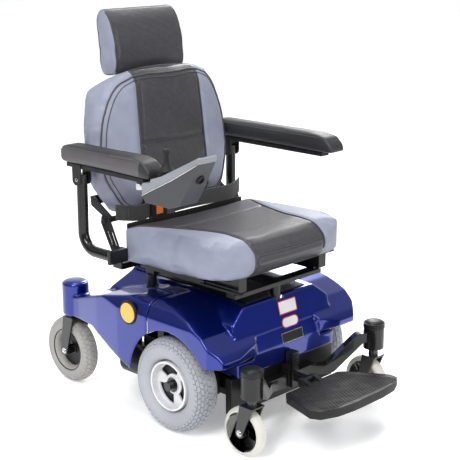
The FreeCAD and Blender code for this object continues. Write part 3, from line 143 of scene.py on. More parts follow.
def grey(level, blue=1.0):
    return (level, level, level * blue, 1.0)


def moulded(name, color, roughness, grain=1400, depth=0.00008, coat=0.0, metallic=0.0):
    """Moulded plastic, rubber or paint: slight colour variation, a fine grain and uneven gloss."""
    graph = Graph(name)
    broad = graph.noise(9, 4)
    dark = tuple(channel * 0.82 for channel in color[:3]) + (1.0,)
    tint = graph.blend(graph.spread(broad, 0.3, 0.7, 0, 1), dark, color)
    gloss = graph.spread(graph.noise(26, 5), 0.3, 0.7, roughness * 0.85, roughness * 1.15)
    normal = graph.bump(graph.noise(grain, 2), depth)
    specular = 0.5 if max(color[:3]) > 0.05 else 0.32
    return graph.finish(tint, gloss, normal, metallic=metallic, coat=coat, specular=specular)


def make_blue():
    """Deep blue metallic moulding: flakes under a clear coat."""
    graph = Graph("shroud_blue_paint")
    flakes = graph.spread(graph.cells(2600), 0.2, 0.7, 0, 1)
    base = graph.blend(flakes, (0.002, 0.024, 0.34, 1), (0.001, 0.008, 0.12, 1))
    broad = graph.spread(graph.noise(5, 2), 0.35, 0.65, 0, 1)
    color = graph.blend(broad, base, graph.blend(0.35, base, (0.003, 0.020, 0.34, 1)))
    normal = graph.bump(graph.noise(14, 2), 0.0004, 0.25)
    return graph.finish(color, 0.3, normal, metallic=0.8, coat=1.0)


def leather_parts(graph, color, grain=420):
    """Colour, roughness and normal of leather with a pebbled grain and soft creases, with painted shade
    darkening the crease hollows.
    """
    pebbles = graph.cells(grain)
    creases = graph.noise(22, 6, 0.6)
    # The colour is darker where the crease noise is low, which is where the crease bump sinks: painted shade
    # in the creases.
    painted_crease_shade = tuple(channel * 0.86 for channel in color[:3]) + (1.0,)
    tint = graph.blend(graph.spread(creases, 0.35, 0.65, 0, 1), painted_crease_shade, color)
    rough = graph.spread(pebbles, 0.0, 0.6, 0.42, 0.56)
    normal = graph.bump(pebbles, 0.00025, 0.5, graph.bump(creases, 0.0012, 0.35))
    return tint, rough, normal


def mesh_parts(graph, lying):
    """Colour, roughness and normal of dark perforated mesh: slanted rows of small holes.

    The rows are laid out in X and Y on a surface that lies flat, and in X and Z on an upright one.
    """
    x, y, z = graph.axes()
    other = y if lying else z
    turns = 2 * math.pi / MESH_PITCH
    rising = graph.math("SINE", graph.math("MULTIPLY", graph.math("ADD", x, other), turns))
    falling = graph.math("SINE", graph.math("MULTIPLY", graph.math("SUBTRACT", x, other), turns))
    holes = graph.spread(graph.math("MULTIPLY", rising, falling), -0.2, 0.5, 0, 1)
    cloth = graph.noise(70, 5)
    tint = graph.blend(holes, MESH_LIGHT, MESH_DARK)
    tint = graph.blend(graph.spread(cloth, 0.3, 0.7, 0.0, 0.35), tint, MESH_DARK)
    rough = graph.spread(holes, 0, 1, 0.30, 0.46)
    lowered = graph.math("SUBTRACT", 1.0, holes)
    return tint, rough, graph.bump(lowered, 0.0012, 0.9)


def two_part(name, mask_of, lying=False):
    """Upholstery of light leather and dark mesh, split by a mask worked out from the place."""
    graph = Graph(name)
    leather = leather_parts(graph, LIGHT_LEATHER)
    mesh = mesh_parts(graph, lying)
    mask = mask_of(graph)
    tint = graph.blend(mask, leather[0], mesh[0])
    rough = graph.mix(mask, leather[1], mesh[1])
    normal = graph.tree.nodes.new("ShaderNodeMix")
    normal.data_type = "VECTOR"
    graph.link(mask, normal.inputs["Factor"])
    vector_inputs = [socket for socket in normal.inputs if socket.type == "VECTOR"]
    graph.link(leather[2], vector_inputs[-2])
    graph.link(mesh[2], vector_inputs[-1])
    out = [socket for socket in normal.outputs if socket.type == "VECTOR"][0]
    return graph.finish(tint, rough, out)


LIGHT_LEATHER = (0.25, 0.265, 0.345, 1)
MESH_DARK = (0.003, 0.003, 0.004, 1)
MESH_LIGHT = (0.070, 0.066, 0.076, 1)
MESH_PITCH = 0.0064

# The dark panel of the seat is wide at the back and narrows towards the front.  The backrest's
# narrows a little towards its top, and the headrest's has one width.
SEAT_LOW, SEAT_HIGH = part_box("seat_cushion")
SEAT_PANEL_REAR = 0.235
SEAT_PANEL_FRONT = 0.136
SEAT_PANEL_START = at(0, -40, 0).y
PANEL_CURVE = 1.25
BACK_LOW, BACK_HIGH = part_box("back_cushion")
BACK_RISE = BACK_HIGH[2] - BACK_LOW[2]
BACK_PANEL_TOP = 0.118
BACK_PANEL_LOW = 0.128
BACK_PIVOT = at(0, 290, 523)
LEAN = math.radians(6.8)
HEAD_PANEL_HALF = 0.1265


def seat_panel_half(y):
    """Half the width of the seat's dark panel at a place along the seat."""
    share = min(max((y - SEAT_PANEL_START) / (SEAT_HIGH[1] - SEAT_PANEL_START), 0), 1)
    return SEAT_PANEL_FRONT + (SEAT_PANEL_REAR - SEAT_PANEL_FRONT) * share ** PANEL_CURVE


def seat_mask(graph):
    """1 on the seat's dark panel, 0 outside it."""
    x, y, z = graph.axes()
    share = graph.math("POWER", graph.spread(y, SEAT_PANEL_START, SEAT_HIGH[1], 0, 1), PANEL_CURVE)
    half = graph.spread(share, 0, 1, SEAT_PANEL_FRONT, SEAT_PANEL_REAR)
    return graph.math("LESS_THAN", graph.math("ABSOLUTE", x), half)


def back_panel_half(z):
    """Half the width of the backrest's dark panel at a height."""
    share = min(max((z - BACK_LOW[2]) / BACK_RISE, 0), 1)
    return BACK_PANEL_LOW + (BACK_PANEL_TOP - BACK_PANEL_LOW) * share


def back_mask(graph):
    """1 on the backrest's dark panel and in front of its leaning middle plane, 0 elsewhere."""
    x, y, z = graph.axes()
    half = graph.spread(z, BACK_LOW[2], BACK_HIGH[2], BACK_PANEL_LOW, BACK_PANEL_TOP)
    inside = graph.math("LESS_THAN", graph.math("ABSOLUTE", x), half)
    lean = graph.math("MULTIPLY", graph.math("SUBTRACT", z, BACK_PIVOT.z), math.tan(LEAN))
    depth = graph.math("SUBTRACT", graph.math("SUBTRACT", y, BACK_PIVOT.y), lean)
    return graph.math("MULTIPLY", inside, graph.math("LESS_THAN", depth, 0.0))


def head_mask(graph):
    """1 on the headrest's dark panel, 0 outside it."""
    x, y, z = graph.axes()
    return graph.math("LESS_THAN", graph.math("ABSOLUTE", x), HEAD_PANEL_HALF)


PAINT = {
    "frame": moulded("frame_black_paint", grey(0.008), 0.34, coat=0.12),
    "satin": moulded("satin_black_plastic", grey(0.008), 0.42, 900, 0.00015),
    "gloss": moulded("gloss_black_paint", grey(0.006), 0.24, coat=0.25),
    "plastic": moulded("black_plastic", grey(0.011), 0.5, 900, 0.0002),
    "motor": moulded("motor_enamel", grey(0.02), 0.4),
    "aluminium": moulded("module_aluminium", grey(0.25), 0.4, metallic=0.9),
    "battery": moulded("battery_case_grey", grey(0.09), 0.55),
    "blue": make_blue(),
    "amber": moulded("reflector_amber_lens", (0.95, 0.50, 0.02, 1), 0.18, 320, 0.0012, coat=0.8),
    "drive_tyre": moulded("grey_tyre_rubber", (0.42, 0.435, 0.47, 1), 0.72, 700, 0.0003),
    "rear_tyre": moulded("rear_tyre_rubber", (0.40, 0.39, 0.365, 1), 0.6, 700, 0.0003),
    "caster_tyre": moulded("cream_tyre_rubber", (0.62, 0.61, 0.55, 1), 0.5, 700, 0.0002),
    "steel": moulded("bright_steel", grey(0.72), 0.2, 500, 0.00005, metallic=1.0),
    "case_dark": moulded("controller_grey", (0.05, 0.05, 0.056, 1), 0.42, 1600, 0.00015),
    "case_light": moulded("controller_light_grey", (0.25, 0.26, 0.29, 1), 0.38, 1600, 0.00015),
    "rubber": moulded("boot_rubber", grey(0.016), 0.62, 900, 0.0002),
    "red": moulded("power_button_red", (0.5, 0.02, 0.015, 1), 0.3),
    "orange": moulded("buckle_orange", (0.9, 0.22, 0.04, 1), 0.35),
    "buckle": moulded("buckle_black_plastic", grey(0.022), 0.3),
    "label": moulded("label_film", grey(0.75), 0.4),
    "label_red": moulded("label_red_ink", (0.5, 0.02, 0.02, 1), 0.4),
}


def make_leather(name, color, grain):
    """Leather of one colour."""
    graph = Graph(name)
    tint, rough, normal = leather_parts(graph, color, grain)
    return graph.finish(tint, rough, normal)


def make_webbing():
    """Woven belt webbing: ribs along the belt and fine cross threads."""
    graph = Graph("belt_webbing")
    x, y, z = graph.axes()
    rib_pitch = 0.004
    thread_pitch = 0.0016
    ribs = graph.math("SINE", graph.math("MULTIPLY", z, 2 * math.pi / rib_pitch))
    threads = graph.math("SINE", graph.math("MULTIPLY", x, 2 * math.pi / thread_pitch))
    weave = graph.math("ADD", ribs, graph.math("MULTIPLY", threads, ribs))
    tint = graph.blend(graph.spread(weave, -2, 2, 0, 1), grey(0.006), grey(0.022))
    return graph.finish(tint, 0.75, graph.bump(weave, 0.0004, 0.6), sheen=0.4)


PAINT["leather"] = make_leather("arm_pad_leather", (0.020, 0.020, 0.022, 1), 520)
PAINT["piping"] = moulded("piping_cord", grey(0.055), 0.55, 1200, 0.0002)
PAINT["webbing"] = make_webbing()
PAINT["seat"] = two_part("seat_upholstery_cover", seat_mask, lying=True)
PAINT["back"] = two_part("back_upholstery_cover", back_mask)
PAINT["head"] = two_part("headrest_upholstery_cover", head_mask)


# ---------------------------------------------------------------- mesh helpers


def new_object(name, mesh, material, body):
    """A piece of the object, riding on a body."""
    item = bpy.data.objects.new(name, mesh)
    bpy.context.collection.objects.link(item)
    mesh.materials.clear()
    mesh.materials.append(PAINT[material])
    if body:
        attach(item, body)
    return item


def smooth_shaded(mesh):
    for face in mesh.polygons:
        face.use_smooth = True
    return mesh


def mesh_from(name, points, faces):
    """A smooth-shaded mesh of points and faces."""
    mesh = bpy.data.meshes.new(name)
    mesh.from_pydata([tuple(point) for point in points], [], faces)
    mesh.update()
    return smooth_shaded(mesh)


def repair_normals(mesh):
    work = bmesh.new()
    work.from_mesh(mesh)
    bmesh.ops.recalc_face_normals(work, faces=work.faces)
    work.to_mesh(mesh)
    work.free()


def add_piece(name, points, faces, material, body, sharp=35):
    """A piece of points and faces, with edges over an angle in degrees left sharp."""
    mesh = mesh_from(name, points, faces)
    repair_normals(mesh)
    mesh.set_sharp_from_angle(angle=math.radians(sharp))
    return new_object(name, mesh, material, body)


def loop_faces(first, second):
    """Faces between two closed loops with the same number of points."""
    faces = []
    for step in range(len(first)):
        after = (step + 1) % len(first)
        faces.append((first[step], first[after], second[after], second[step]))
    return faces


def turned(profile, centre, axis, steps=64, capped=True):
    """Points and faces of a profile of (along, radius) pairs turned about an axis through a centre."""
    axis = Vector(axis).normalized()
    side = axis.orthogonal().normalized()
    other = axis.cross(side)
    points = []
    for along, radius in profile:
        for step in range(steps):
            angle = 2 * math.pi * step / steps
            points.append(centre + axis * along + (side * math.cos(angle) + other * math.sin(angle)) * radius)
    rings = [range(ring * steps, (ring + 1) * steps) for ring in range(len(profile))]
    faces = []
    for ring, following in zip(rings, rings[1:]):
        faces += loop_faces(ring, following)
    if capped:
        faces.append(tuple(rings[0])[::-1])
        faces.append(tuple(rings[-1]))
    return points, faces


def add_turned(name, profile, centre, axis, material, body, steps=64, sharp=35):
    """A round piece, closed at both ends."""
    points, faces = turned(profile, centre, axis, steps)
    return add_piece(name, points, faces, material, body, sharp)


def tube(name, points, radius, material, body, closed=False, smooth=True):
    """A round cord or wire through points, as a mesh."""
    curve = bpy.data.curves.new(name + "_line", "CURVE")
    curve.dimensions = "3D"
    spline = curve.splines.new("NURBS" if smooth else "POLY")
    spline.points.add(len(points) - 1)
    for point, place in zip(spline.points, points):
        point.co = (*place, 1)
    spline.use_cyclic_u = closed
    if smooth:
        spline.order_u = 3
        spline.use_endpoint_u = not closed
    curve.bevel_depth = radius
    curve.bevel_resolution = 3
    curve.resolution_u = 6
    curve.use_fill_caps = True
    holder = bpy.data.objects.new(name + "_holder", curve)
    mesh = bpy.data.meshes.new_from_object(holder)
    bpy.data.objects.remove(holder)
    return new_object(name, smooth_shaded(mesh), material, body)


def block(name, low, high, material, body, bevel):
    """A bevelled block between two corners."""
    work = bmesh.new()
    bmesh.ops.create_cube(work, size=1)
    middle = (Vector(low) + Vector(high)) / 2
    size = Vector(high) - Vector(low)
    for vertex in work.verts:
        vertex.co = middle + vertex.co * size
    bmesh.ops.bevel(work, geom=list(work.edges), offset=bevel, segments=3, profile=0.5, affect="EDGES")
    mesh = bpy.data.meshes.new(name)
    work.to_mesh(mesh)
    work.free()
    smooth_shaded(mesh).set_sharp_from_angle(angle=math.radians(30))
    return new_object(name, mesh, material, body)


def bolt(name, centre, axis, radius, body):
    """A steel button-head bolt on a washer, with a round socket."""
    height = radius * 0.6
    socket = radius * 0.45
    profile = [
        (0, radius * 1.35), (height * 0.25, radius * 1.35), (height * 0.25, radius),
        (height * 0.7, radius * 0.95), (height, radius * 0.65), (height, socket), (height * 0.35, socket),
        (height * 0.35, 0.0002),
    ]
    return add_turned(name, profile, centre, axis, "steel", body, steps=24)


WELD_DISTANCE = 0.00002


def copy_of(name, copy_name):
    """A new object with a CAD node's mesh, welded."""
    mesh = NODES[name].data.copy()
    mesh.name = copy_name
    work = bmesh.new()
    work.from_mesh(mesh)
    bmesh.ops.remove_doubles(work, verts=work.verts, dist=WELD_DISTANCE)
    bmesh.ops.recalc_face_normals(work, faces=work.faces)
    work.to_mesh(mesh)
    work.free()
    item = bpy.data.objects.new(copy_name, mesh)
    bpy.context.collection.objects.link(item)
    return item


def evaluated_mesh(item):
    """A new mesh of an object as its modifiers leave it."""
    return bpy.data.meshes.new_from_object(item.evaluated_get(bpy.context.evaluated_depsgraph_get()))


def apply_all(item):
    """Apply every modifier of an object."""
    bpy.context.view_layer.update()
    shape = evaluated_mesh(item)
    item.modifiers.clear()
    old = item.data
    item.data = shape
    bpy.data.meshes.remove(old)


def add_smooth(item, steps):
    """A modifier that evens out an object's surface."""
    soft = item.modifiers.new("soft_forms", "SMOOTH")
    soft.iterations = steps
    soft.factor = 0.5


def add_grid(item, voxel):
    """A modifier that rebuilds an object as an even mesh."""
    grid = item.modifiers.new("even_grid", "REMESH")
    grid.mode = "VOXEL"
    grid.voxel_size = voxel
    return grid


CLOTH_PRESSURE = 3.0
CLOTH_FRAMES = 14
CLOTH_STIFFNESS = 40
CLOTH_BENDING = 4


def inflate(item, cap, calm):
    """Swell a closed cover by a cloth simulation, no point moving further than the cap, then smooth it."""
    rest = [vertex.co.copy() for vertex in item.data.vertices]
    cloth = item.modifiers.new("cloth", "CLOTH")
    settings = cloth.settings
    settings.quality = 4
    settings.use_pressure = True
    settings.uniform_pressure_force = CLOTH_PRESSURE
    settings.effector_weights.gravity = 0
    settings.tension_stiffness = CLOTH_STIFFNESS
    settings.compression_stiffness = CLOTH_STIFFNESS
    settings.bending_stiffness = CLOTH_BENDING
    cloth.point_cache.frame_start = 1
    cloth.point_cache.frame_end = CLOTH_FRAMES
    for number in range(1, CLOTH_FRAMES + 1):
        bpy.context.scene.frame_set(number)
    shape = evaluated_mesh(item)
    places = [vertex.co.copy() for vertex in shape.vertices]
    item.modifiers.clear()
    bpy.context.scene.frame_set(1)
    for vertex, start, end in zip(item.data.vertices, rest, places):
        shift = end - start
        if shift.length > cap:
            shift *= cap / shift.length
        vertex.co = start + shift
    bpy.data.meshes.remove(shape)
    add_smooth(item, calm)
    apply_all(item)


def surface_tree(item):
    """A tree for casting rays at an object's own mesh."""
    places = [vertex.co for vertex in item.data.vertices]
    return BVHTree.FromPolygons(places, [face.vertices for face in item.data.polygons])


def project(tree, start, direction, lift=0.0):
    """The point where a ray meets a surface, lifted a little along its normal."""
    place, normal, index, distance = tree.ray_cast(Vector(start), Vector(direction))
    if place is None:
        place, normal, index, distance = tree.find_nearest(Vector(start))
    return place + normal * lift


# ---------------------------------------------------------------- hard parts from the frame


def two_finishes(name, outside, inside, centre, radius):
    """One finish near a line along X, such as a bolt or a hub, and another around it.

    A finish is a colour, a roughness and how metallic it is.
    """
    graph = Graph(name)
    x, y, z = graph.axes()
    dy = graph.math("SUBTRACT", y, centre.y)
    dz = graph.math("SUBTRACT", z, centre.z)
    squares = graph.math("ADD", graph.math("MULTIPLY", dy, dy), graph.math("MULTIPLY", dz, dz))
    mask = graph.math("LESS_THAN", graph.math("SQRT", squares), radius)
    tint = graph.blend(mask, outside[0], inside[0])
    broad = graph.spread(graph.noise(12, 4), 0.3, 0.7, 0, 0.25)
    tint = graph.blend(broad, tint, grey(0.008))
    rough = graph.mix(mask, outside[1], inside[1])
    metal = graph.mix(mask, outside[2], inside[2])
    return graph.finish(tint, rough, graph.bump(graph.noise(900, 2), 0.0001), metallic=metal, coat=0.3)


def middle_of(node):
    """The middle of a node's box."""
    low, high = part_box(node)
    return (Vector(low) + Vector(high)) / 2


KNOB_RADIUS = 0.0205
BOLT_RADIUS = 0.0085
SHINY = (grey(0.7), 0.2, 1.0)
BLACK = (grey(0.012), 0.28, 0.0)
ENAMEL = (grey(0.8, 1.02), 0.2, 0.0)
PAINT["rim_drive"] = two_finishes("rim_and_knob", ENAMEL, BLACK, middle_of("drive_tyre_left"), KNOB_RADIUS)
for end in ("front", "rear"):
    hub = middle_of(end + "_caster_tyre_left")
    PAINT["fork_" + end] = two_finishes(end + "_fork_and_bolt", BLACK, SHINY, hub, BOLT_RADIUS)

# The hard-edged CAD nodes of each finish.  A name that ends in _ stands for a left and right pair.
HARD_NODES = {
    "frame": "base_frame seat_posts seat_base seat_frame recline_brackets",
    "plastic": "battery_tray deck_panel footplate slide_lever back_frame arm_rail_ freewheel_lever_",
    "gloss": "footrest_post arm_posts front_caster_arm_ front_caster_rim_ rear_caster_rim_",
    "steel": "headrest_rods controller_link belt_tongue",
    "rubber": "joystick_gimbal joystick",
    "satin": "caster_caps",
    "amber": "side_reflectors",
    "motor": "gear_motor_",
    "battery": "batteries",
    "aluminium": "power_module",
    "red": "power_button",
    "buckle": "belt_buckle",
    "orange": "buckle_button",
    "rim_drive": "drive_rim_",
    "fork_front": "front_caster_fork_",
    "fork_rear": "rear_caster_fork_",
    "caster_tyre": "front_caster_tyre_",
}
EDGE_RADIUS = 0.0009


def welded_node(name, material):
    """A CAD node with its material, and a modifier that joins its faces."""
    node = NODES[name]
    for holder in node.material_slots:
        holder.material = PAINT[material]
    node.modifiers.new("joined_faces", "WELD").merge_threshold = WELD_DISTANCE
    return node


def harden(name, material):
    """A machined or moulded part: material, rounded edges and even shading."""
    node = welded_node(name, material)
    flat = node.modifiers.new("whole_faces", "DECIMATE")
    flat.decimate_type = "DISSOLVE"
    flat.angle_limit = math.radians(0.4)
    rounder = node.modifiers.new("rounded_edges", "BEVEL")
    rounder.width = EDGE_RADIUS
    rounder.segments = 2
    rounder.limit_method = "ANGLE"
    rounder.angle_limit = math.radians(38)
    rounder.use_clamp_overlap = False
    even = node.modifiers.new("even_shading", "WEIGHTED_NORMAL")
    even.keep_sharp = False
    even.weight = 50


def soften(name, material, voxel, steps, thicker):
    """A soft moulded part: material and broad rounded forms, a little thicker to make up for smoothing."""
    node = welded_node(name, material)
    add_grid(node, voxel).use_smooth_shade = True
    add_smooth(node, steps)
    fuller = node.modifiers.new("kept_thickness", "DISPLACE")
    fuller.strength = thicker
    fuller.mid_level = 0


for finish_name, node_names in HARD_NODES.items():
    for node_name in node_names.split():
        for ending in ("left", "right") if node_name.endswith("_") else ("",):
            harden(node_name + ending, finish_name)
for node_name in ("shroud_main", "rear_pod_left", "rear_pod_right"):
    soften(node_name, "blue", voxel=0.0021, steps=30, thicker=0.0011)
soften("controller_upper", "case_light", voxel=0.0012, steps=5, thicker=0.0002)
soften("controller_lower", "case_dark", voxel=0.0012, steps=5, thicker=0.0002)


# ---------------------------------------------------------------- upholstery


def extent(item, axis):
    """The least and the greatest coordinate of an object's points along an axis."""
    numbers = [vertex.co[axis] for vertex in item.data.vertices]
    return min(numbers), max(numbers)


def fit_to(item, low, high, proud):
    """Stretch an object so that its box is a given box, standing proud of it by a little."""
    for axis in range(3):
        least, most = extent(item, axis)
        scale = (high[axis] - low[axis] + 2 * proud) / (most - least)
        for vertex in item.data.vertices:
            vertex.co[axis] = low[axis] - proud + (vertex.co[axis] - least) * scale
    item.data.update()


def shrink(item, share):
    """Scale an object about the middle of its box."""
    for axis in range(3):
        middle = sum(extent(item, axis)) / 2
        for vertex in item.data.vertices:
            vertex.co[axis] = middle + (vertex.co[axis] - middle) * share[axis]


def cushion(node_name, piece_name, material, body, voxel, cap, share, shape=None, proud=0.0,
            calm=9):
    """A padded piece: the node's solid, remeshed, swelled as a cloth cover and fitted to its box.

    share is the scale that the cover starts at, and calm is the number of smoothing steps.
    """
    item = copy_of(node_name, piece_name)
    shrink(item, share)
    add_grid(item, voxel)
    add_smooth(item, 2)
    apply_all(item)
    smooth_shaded(item.data)
    inflate(item, cap, calm)
    low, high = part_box(node_name)
    fit_to(item, low, high, proud)
    if shape:
        shape(item)
    finer = item.modifiers.new("finer", "SUBSURF")
    finer.levels = 1
    finer.render_levels = 1
    apply_all(item)
    smooth_shaded(item.data)
    item.data.materials.clear()
    item.data.materials.append(PAINT[material])
    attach(item, body)
    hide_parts(node_name)
    return item


def dent(distance, width, depth):
    """The depth of a rounded groove at a distance from its middle."""
    return depth * math.exp(-(distance / width) ** 2)


SEAT_SEAM_Y = at(0, 92, 0).y
SEAT_HOLLOW = 0.006


def shape_seat(item):
    """Hollow the seat's dark panel a little, pull its seams in and keep its underside flat."""
    item.data.update()
    for vertex in item.data.vertices:
        place = vertex.co
        normal = vertex.normal
        on_show = max(normal.z, -normal.y, 0)
        half = seat_panel_half(place.y)
        inward = dent(abs(abs(place.x) - half), 0.007, 0.005) * on_show
        if abs(place.x) < half and normal.z > 0.3:
            inward += dent(place.y - SEAT_SEAM_Y, 0.006, 0.004)
            inward += SEAT_HOLLOW * (1 - (place.x / half) ** 2) * normal.z
        vertex.co = place - normal * inward
        vertex.co.z = max(vertex.co.z, SEAT_LOW[2])


BACK_SEAM_Z = 0.722
BACK_DEPTH = 0.105
BACK_HALF_WIDTH = 0.25
BACK_WRAP = 0.040
BACK_NARROWING = 0.13
BACK_CORNER_DROP = 0.030
BACK_SHOULDER = 0.45


def shape_back(item):
    """Round the back cushion in plan and at its top corners, then pull in its seams."""
    for vertex in item.data.vertices:
        place = vertex.co
        rise = (place.z - BACK_LOW[2]) / BACK_RISE
        face_y = BACK_LOW[1] + math.tan(LEAN) * (place.z - BACK_LOW[2])
        forward = min(max((face_y + BACK_DEPTH - place.y) / BACK_DEPTH, 0), 1)
        side = min(abs(place.x) / BACK_HALF_WIDTH, 1)
        upper = min(max((rise - BACK_SHOULDER) / (1 - BACK_SHOULDER), 0), 1)
        place.y += BACK_WRAP * side ** 2.4 * forward
        place.x *= 1 - BACK_NARROWING * upper ** 2 * (0.3 + 0.7 * forward)
        place.z -= BACK_CORNER_DROP * upper * side ** 2.6
    item.data.update()
    for vertex in item.data.vertices:
        place = vertex.co
        normal = vertex.normal
        if normal.y > -0.2:
            continue
        inward = dent(abs(place.x) - back_panel_half(place.z), 0.007, 0.006)
        if abs(place.x) < back_panel_half(place.z):
            inward += dent(place.z - BACK_SEAM_Z, 0.006, 0.005)
        vertex.co = place - normal * inward


seat = cushion("seat_cushion", "seat_cushion_cover", "seat", "seat", 0.0055, 0.007,
               (0.99, 0.985, 0.95), shape_seat, 0.004, 4)
back = cushion("back_cushion", "back_cushion_cover", "back", "backrest", 0.006, 0.009,
               (0.985, 0.94, 0.985), shape_back, 0.004)
head = cushion("headrest_cushion", "headrest_cover", "head", "headrest", 0.005, 0.004,
               (0.98, 0.96, 0.97))
pads = {}
for side, sign in SIDES:
    pads[side] = cushion("arm_pad_" + side, "arm_pad_cover_" + side, "leather", "arm_" + side,
                         0.004, 0.003, (0.95, 0.99, 0.94))


def paint_lit_pad_side(item, sign):
    """The outer side of a pad, behind its rounded front end, in a lighter grey leather: painted light on the
    lit side of the black pad.
    """
    item.data.materials.append(make_leather("arm_pad_side_painted_light", (0.085, 0.08, 0.085, 1), 600))
    lit_side_start = extent(item, 1)[0] + 0.035
    for face in item.data.polygons:
        if face.normal.x * sign > 0.72 and face.center.y > lit_side_start:
            face.material_index = 1


# Only the right pad's outer side, which faces the camera and the key light, is painted lighter: painted
# light.
paint_lit_pad_side(pads["right"], -1)


# Piping, on the surfaces of the finished covers.  A ray is its start and its direction.
def piping(name, tree, rays, lift, radius, body, closed=False):
    """A cord through the points where rays meet a surface."""
    points = [project(tree, start, direction, lift) for start, direction in rays]
    tube(name, points, radius, "piping", body, closed)


def over_seat(tree, sign):
    """Rays at one edge of the seat's dark panel, from the back over the top and down the front."""
    middle = middle_of("seat_cushion")
    rear_angle = 14
    front_angle = 196
    steps = 24
    rays = []
    for step in range(steps + 1):
        angle = math.radians(rear_angle + step * (front_angle - rear_angle) / steps)
        direction = Vector((0, math.cos(angle) * 4, math.sin(angle))).normalized()
        x = sign * 0.16
        for attempt in range(3):
            place = project(tree, (x, middle.y, middle.z), direction)
            x = sign * seat_panel_half(place.y)
        rays.append(((x, middle.y, middle.z), direction))
    return rays


DOWN = (0, 0, -1)
REARWARD = (0, 1, 0)
seat_tree = surface_tree(seat)
for side, sign in SIDES:
    piping("seat_piping_" + side, seat_tree, over_seat(seat_tree, sign), 0.0012, 0.0022, "seat")
rays = [((x * 0.01, SEAT_SEAM_Y, 0.6), DOWN) for x in range(-18, 19, 2)]
piping("seat_cross_seam", seat_tree, rays, -0.0002, 0.0009, "seat")


def outline(item, centre, inset, count):
    """Rays at an object from the front, a little inside its outline."""
    reach = [0.0] * 360
    item.data.update()
    for vertex in item.data.vertices:
        if vertex.normal.y > -0.55:
            continue
        dx = vertex.co.x - centre[0]
        dz = vertex.co.z - centre[2]
        angle = int(math.degrees(math.atan2(dz, dx))) % 360
        reach[angle] = max(reach[angle], math.hypot(dx, dz))
    for turn in range(360):
        if reach[turn] == 0:
            reach[turn] = reach[turn - 1]
    for attempt in range(40):
        reach = [(reach[turn - 1] + 2 * reach[turn] + reach[(turn + 1) % 360]) / 4 for turn in range(360)]
    rays = []
    for step in range(count):
        angle = 360 * step / count
        distance = reach[int(angle)] - inset
        x = centre[0] + distance * math.cos(math.radians(angle))
        z = centre[2] + distance * math.sin(math.radians(angle))
        rays.append(((x, centre[1] - 0.5, z), REARWARD))
    return rays


back_middle = middle_of("back_cushion")
back_tree = surface_tree(back)
for name, inset, radius in (("back_piping_outer", 0.010, 0.0024), ("back_piping_inner", 0.020, 0.0012)):
    rays = outline(back, back_middle, inset, 110)
    piping(name, back_tree, rays, 0.001, radius, "backrest", closed=True)
for side, sign in SIDES:
    rays = []
    for step in range(19):
        z = BACK_LOW[2] + BACK_RISE * (0.10 + 0.84 * step / 18)
        rays.append(((sign * back_panel_half(z), back_middle.y - 0.5, z), REARWARD))
    piping("back_panel_seam_" + side, back_tree, rays, 0.0008, 0.0017, "backrest")
half = back_panel_half(BACK_SEAM_Z)
rays = [((half * (step / 8 - 1), -0.5, BACK_SEAM_Z), REARWARD) for step in range(17)]
piping("back_cross_seam", back_tree, rays, 0.0004, 0.0012, "backrest")

head_tree = surface_tree(head)
head_middle = middle_of("headrest_cushion")
HEAD_RING_STEPS = 28
for side, sign in SIDES:
    rays = []
    for step in range(HEAD_RING_STEPS):
        angle = 2 * math.pi * step / HEAD_RING_STEPS
        direction = Vector((0, math.cos(angle), math.sin(angle)))
        rays.append(((sign * HEAD_PANEL_HALF, head_middle.y, head_middle.z), direction))
    piping("headrest_piping_" + side, head_tree, rays, 0.0006, 0.0018, "headrest", closed=True)

for side, sign in SIDES:
    tree = surface_tree(pads[side])
    low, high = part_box("arm_pad_" + side)
    middle = middle_of("arm_pad_" + side)
    for edge in (-1, 1):
        edge_name = "outer" if edge == sign else "inner"
        direction = Vector((edge, 0, 0.42)).normalized()
        rays = []
        for step in range(15):
            y = low[1] + 0.012 + (high[1] - low[1] - 0.024) * step / 14
            rays.append(((middle.x, y, middle.z + 0.004), direction))
        piping("arm_pad_piping_%s_%s" % (side, edge_name), tree, rays, 0.0003, 0.0013, "arm_" + side)


# ---------------------------------------------------------------- tyres


TYRE_RING = 72
TYRE_SECTION = 40
TREAD_ARC = math.radians(150)
BLOCK_CELLS = 3
BLOCK_SPLAY = 0.10
BLOCK_ROOT = 0.0004
SECTION_SQUARENESS = 0.84


def tyre_point(centre, size, across, around, lift=0):
    """A point on a tyre's rounded section, at an angle across the section and one around the axle."""
    radius, half_width, seat_radius = size
    middle = (radius + seat_radius) / 2
    height = (radius - seat_radius) / 2
    cosine, sine = math.cos(across), math.sin(across)
    wide = math.copysign(abs(sine) ** SECTION_SQUARENESS, sine) * (half_width + lift)
    tall = math.copysign(abs(cosine) ** SECTION_SQUARENESS, cosine) * (height + lift)
    reach = middle + tall
    return centre + Vector((wide, reach * math.sin(around), reach * math.cos(around)))


def add_tread_block(points, faces, place_of, depth):
    """A tread block on a grid of shares of its cell, with a splayed foot sunk in the tyre."""
    wide = BLOCK_CELLS + 1
    first = len(points)
    top = first + wide * wide
    for margin, lift in ((-BLOCK_SPLAY, -BLOCK_ROOT), (0.0, depth)):
        for u in range(wide):
            for v in range(wide):
                share_u = margin + (1 - 2 * margin) * u / BLOCK_CELLS
                share_v = margin + (1 - 2 * margin) * v / BLOCK_CELLS
                points.append(place_of(share_u, share_v, lift))
    for u in range(BLOCK_CELLS):
        for v in range(BLOCK_CELLS):
            corner = top + u * wide + v
            faces.append((corner, corner + 1, corner + wide + 1, corner + wide))
    border = [u * wide for u in range(wide)]
    border += [BLOCK_CELLS * wide + v for v in range(1, wide)]
    border += [u * wide + BLOCK_CELLS for u in range(BLOCK_CELLS - 1, -1, -1)]
    border += range(BLOCK_CELLS - 1, 0, -1)
    faces += loop_faces([first + index for index in border], [top + index for index in border])


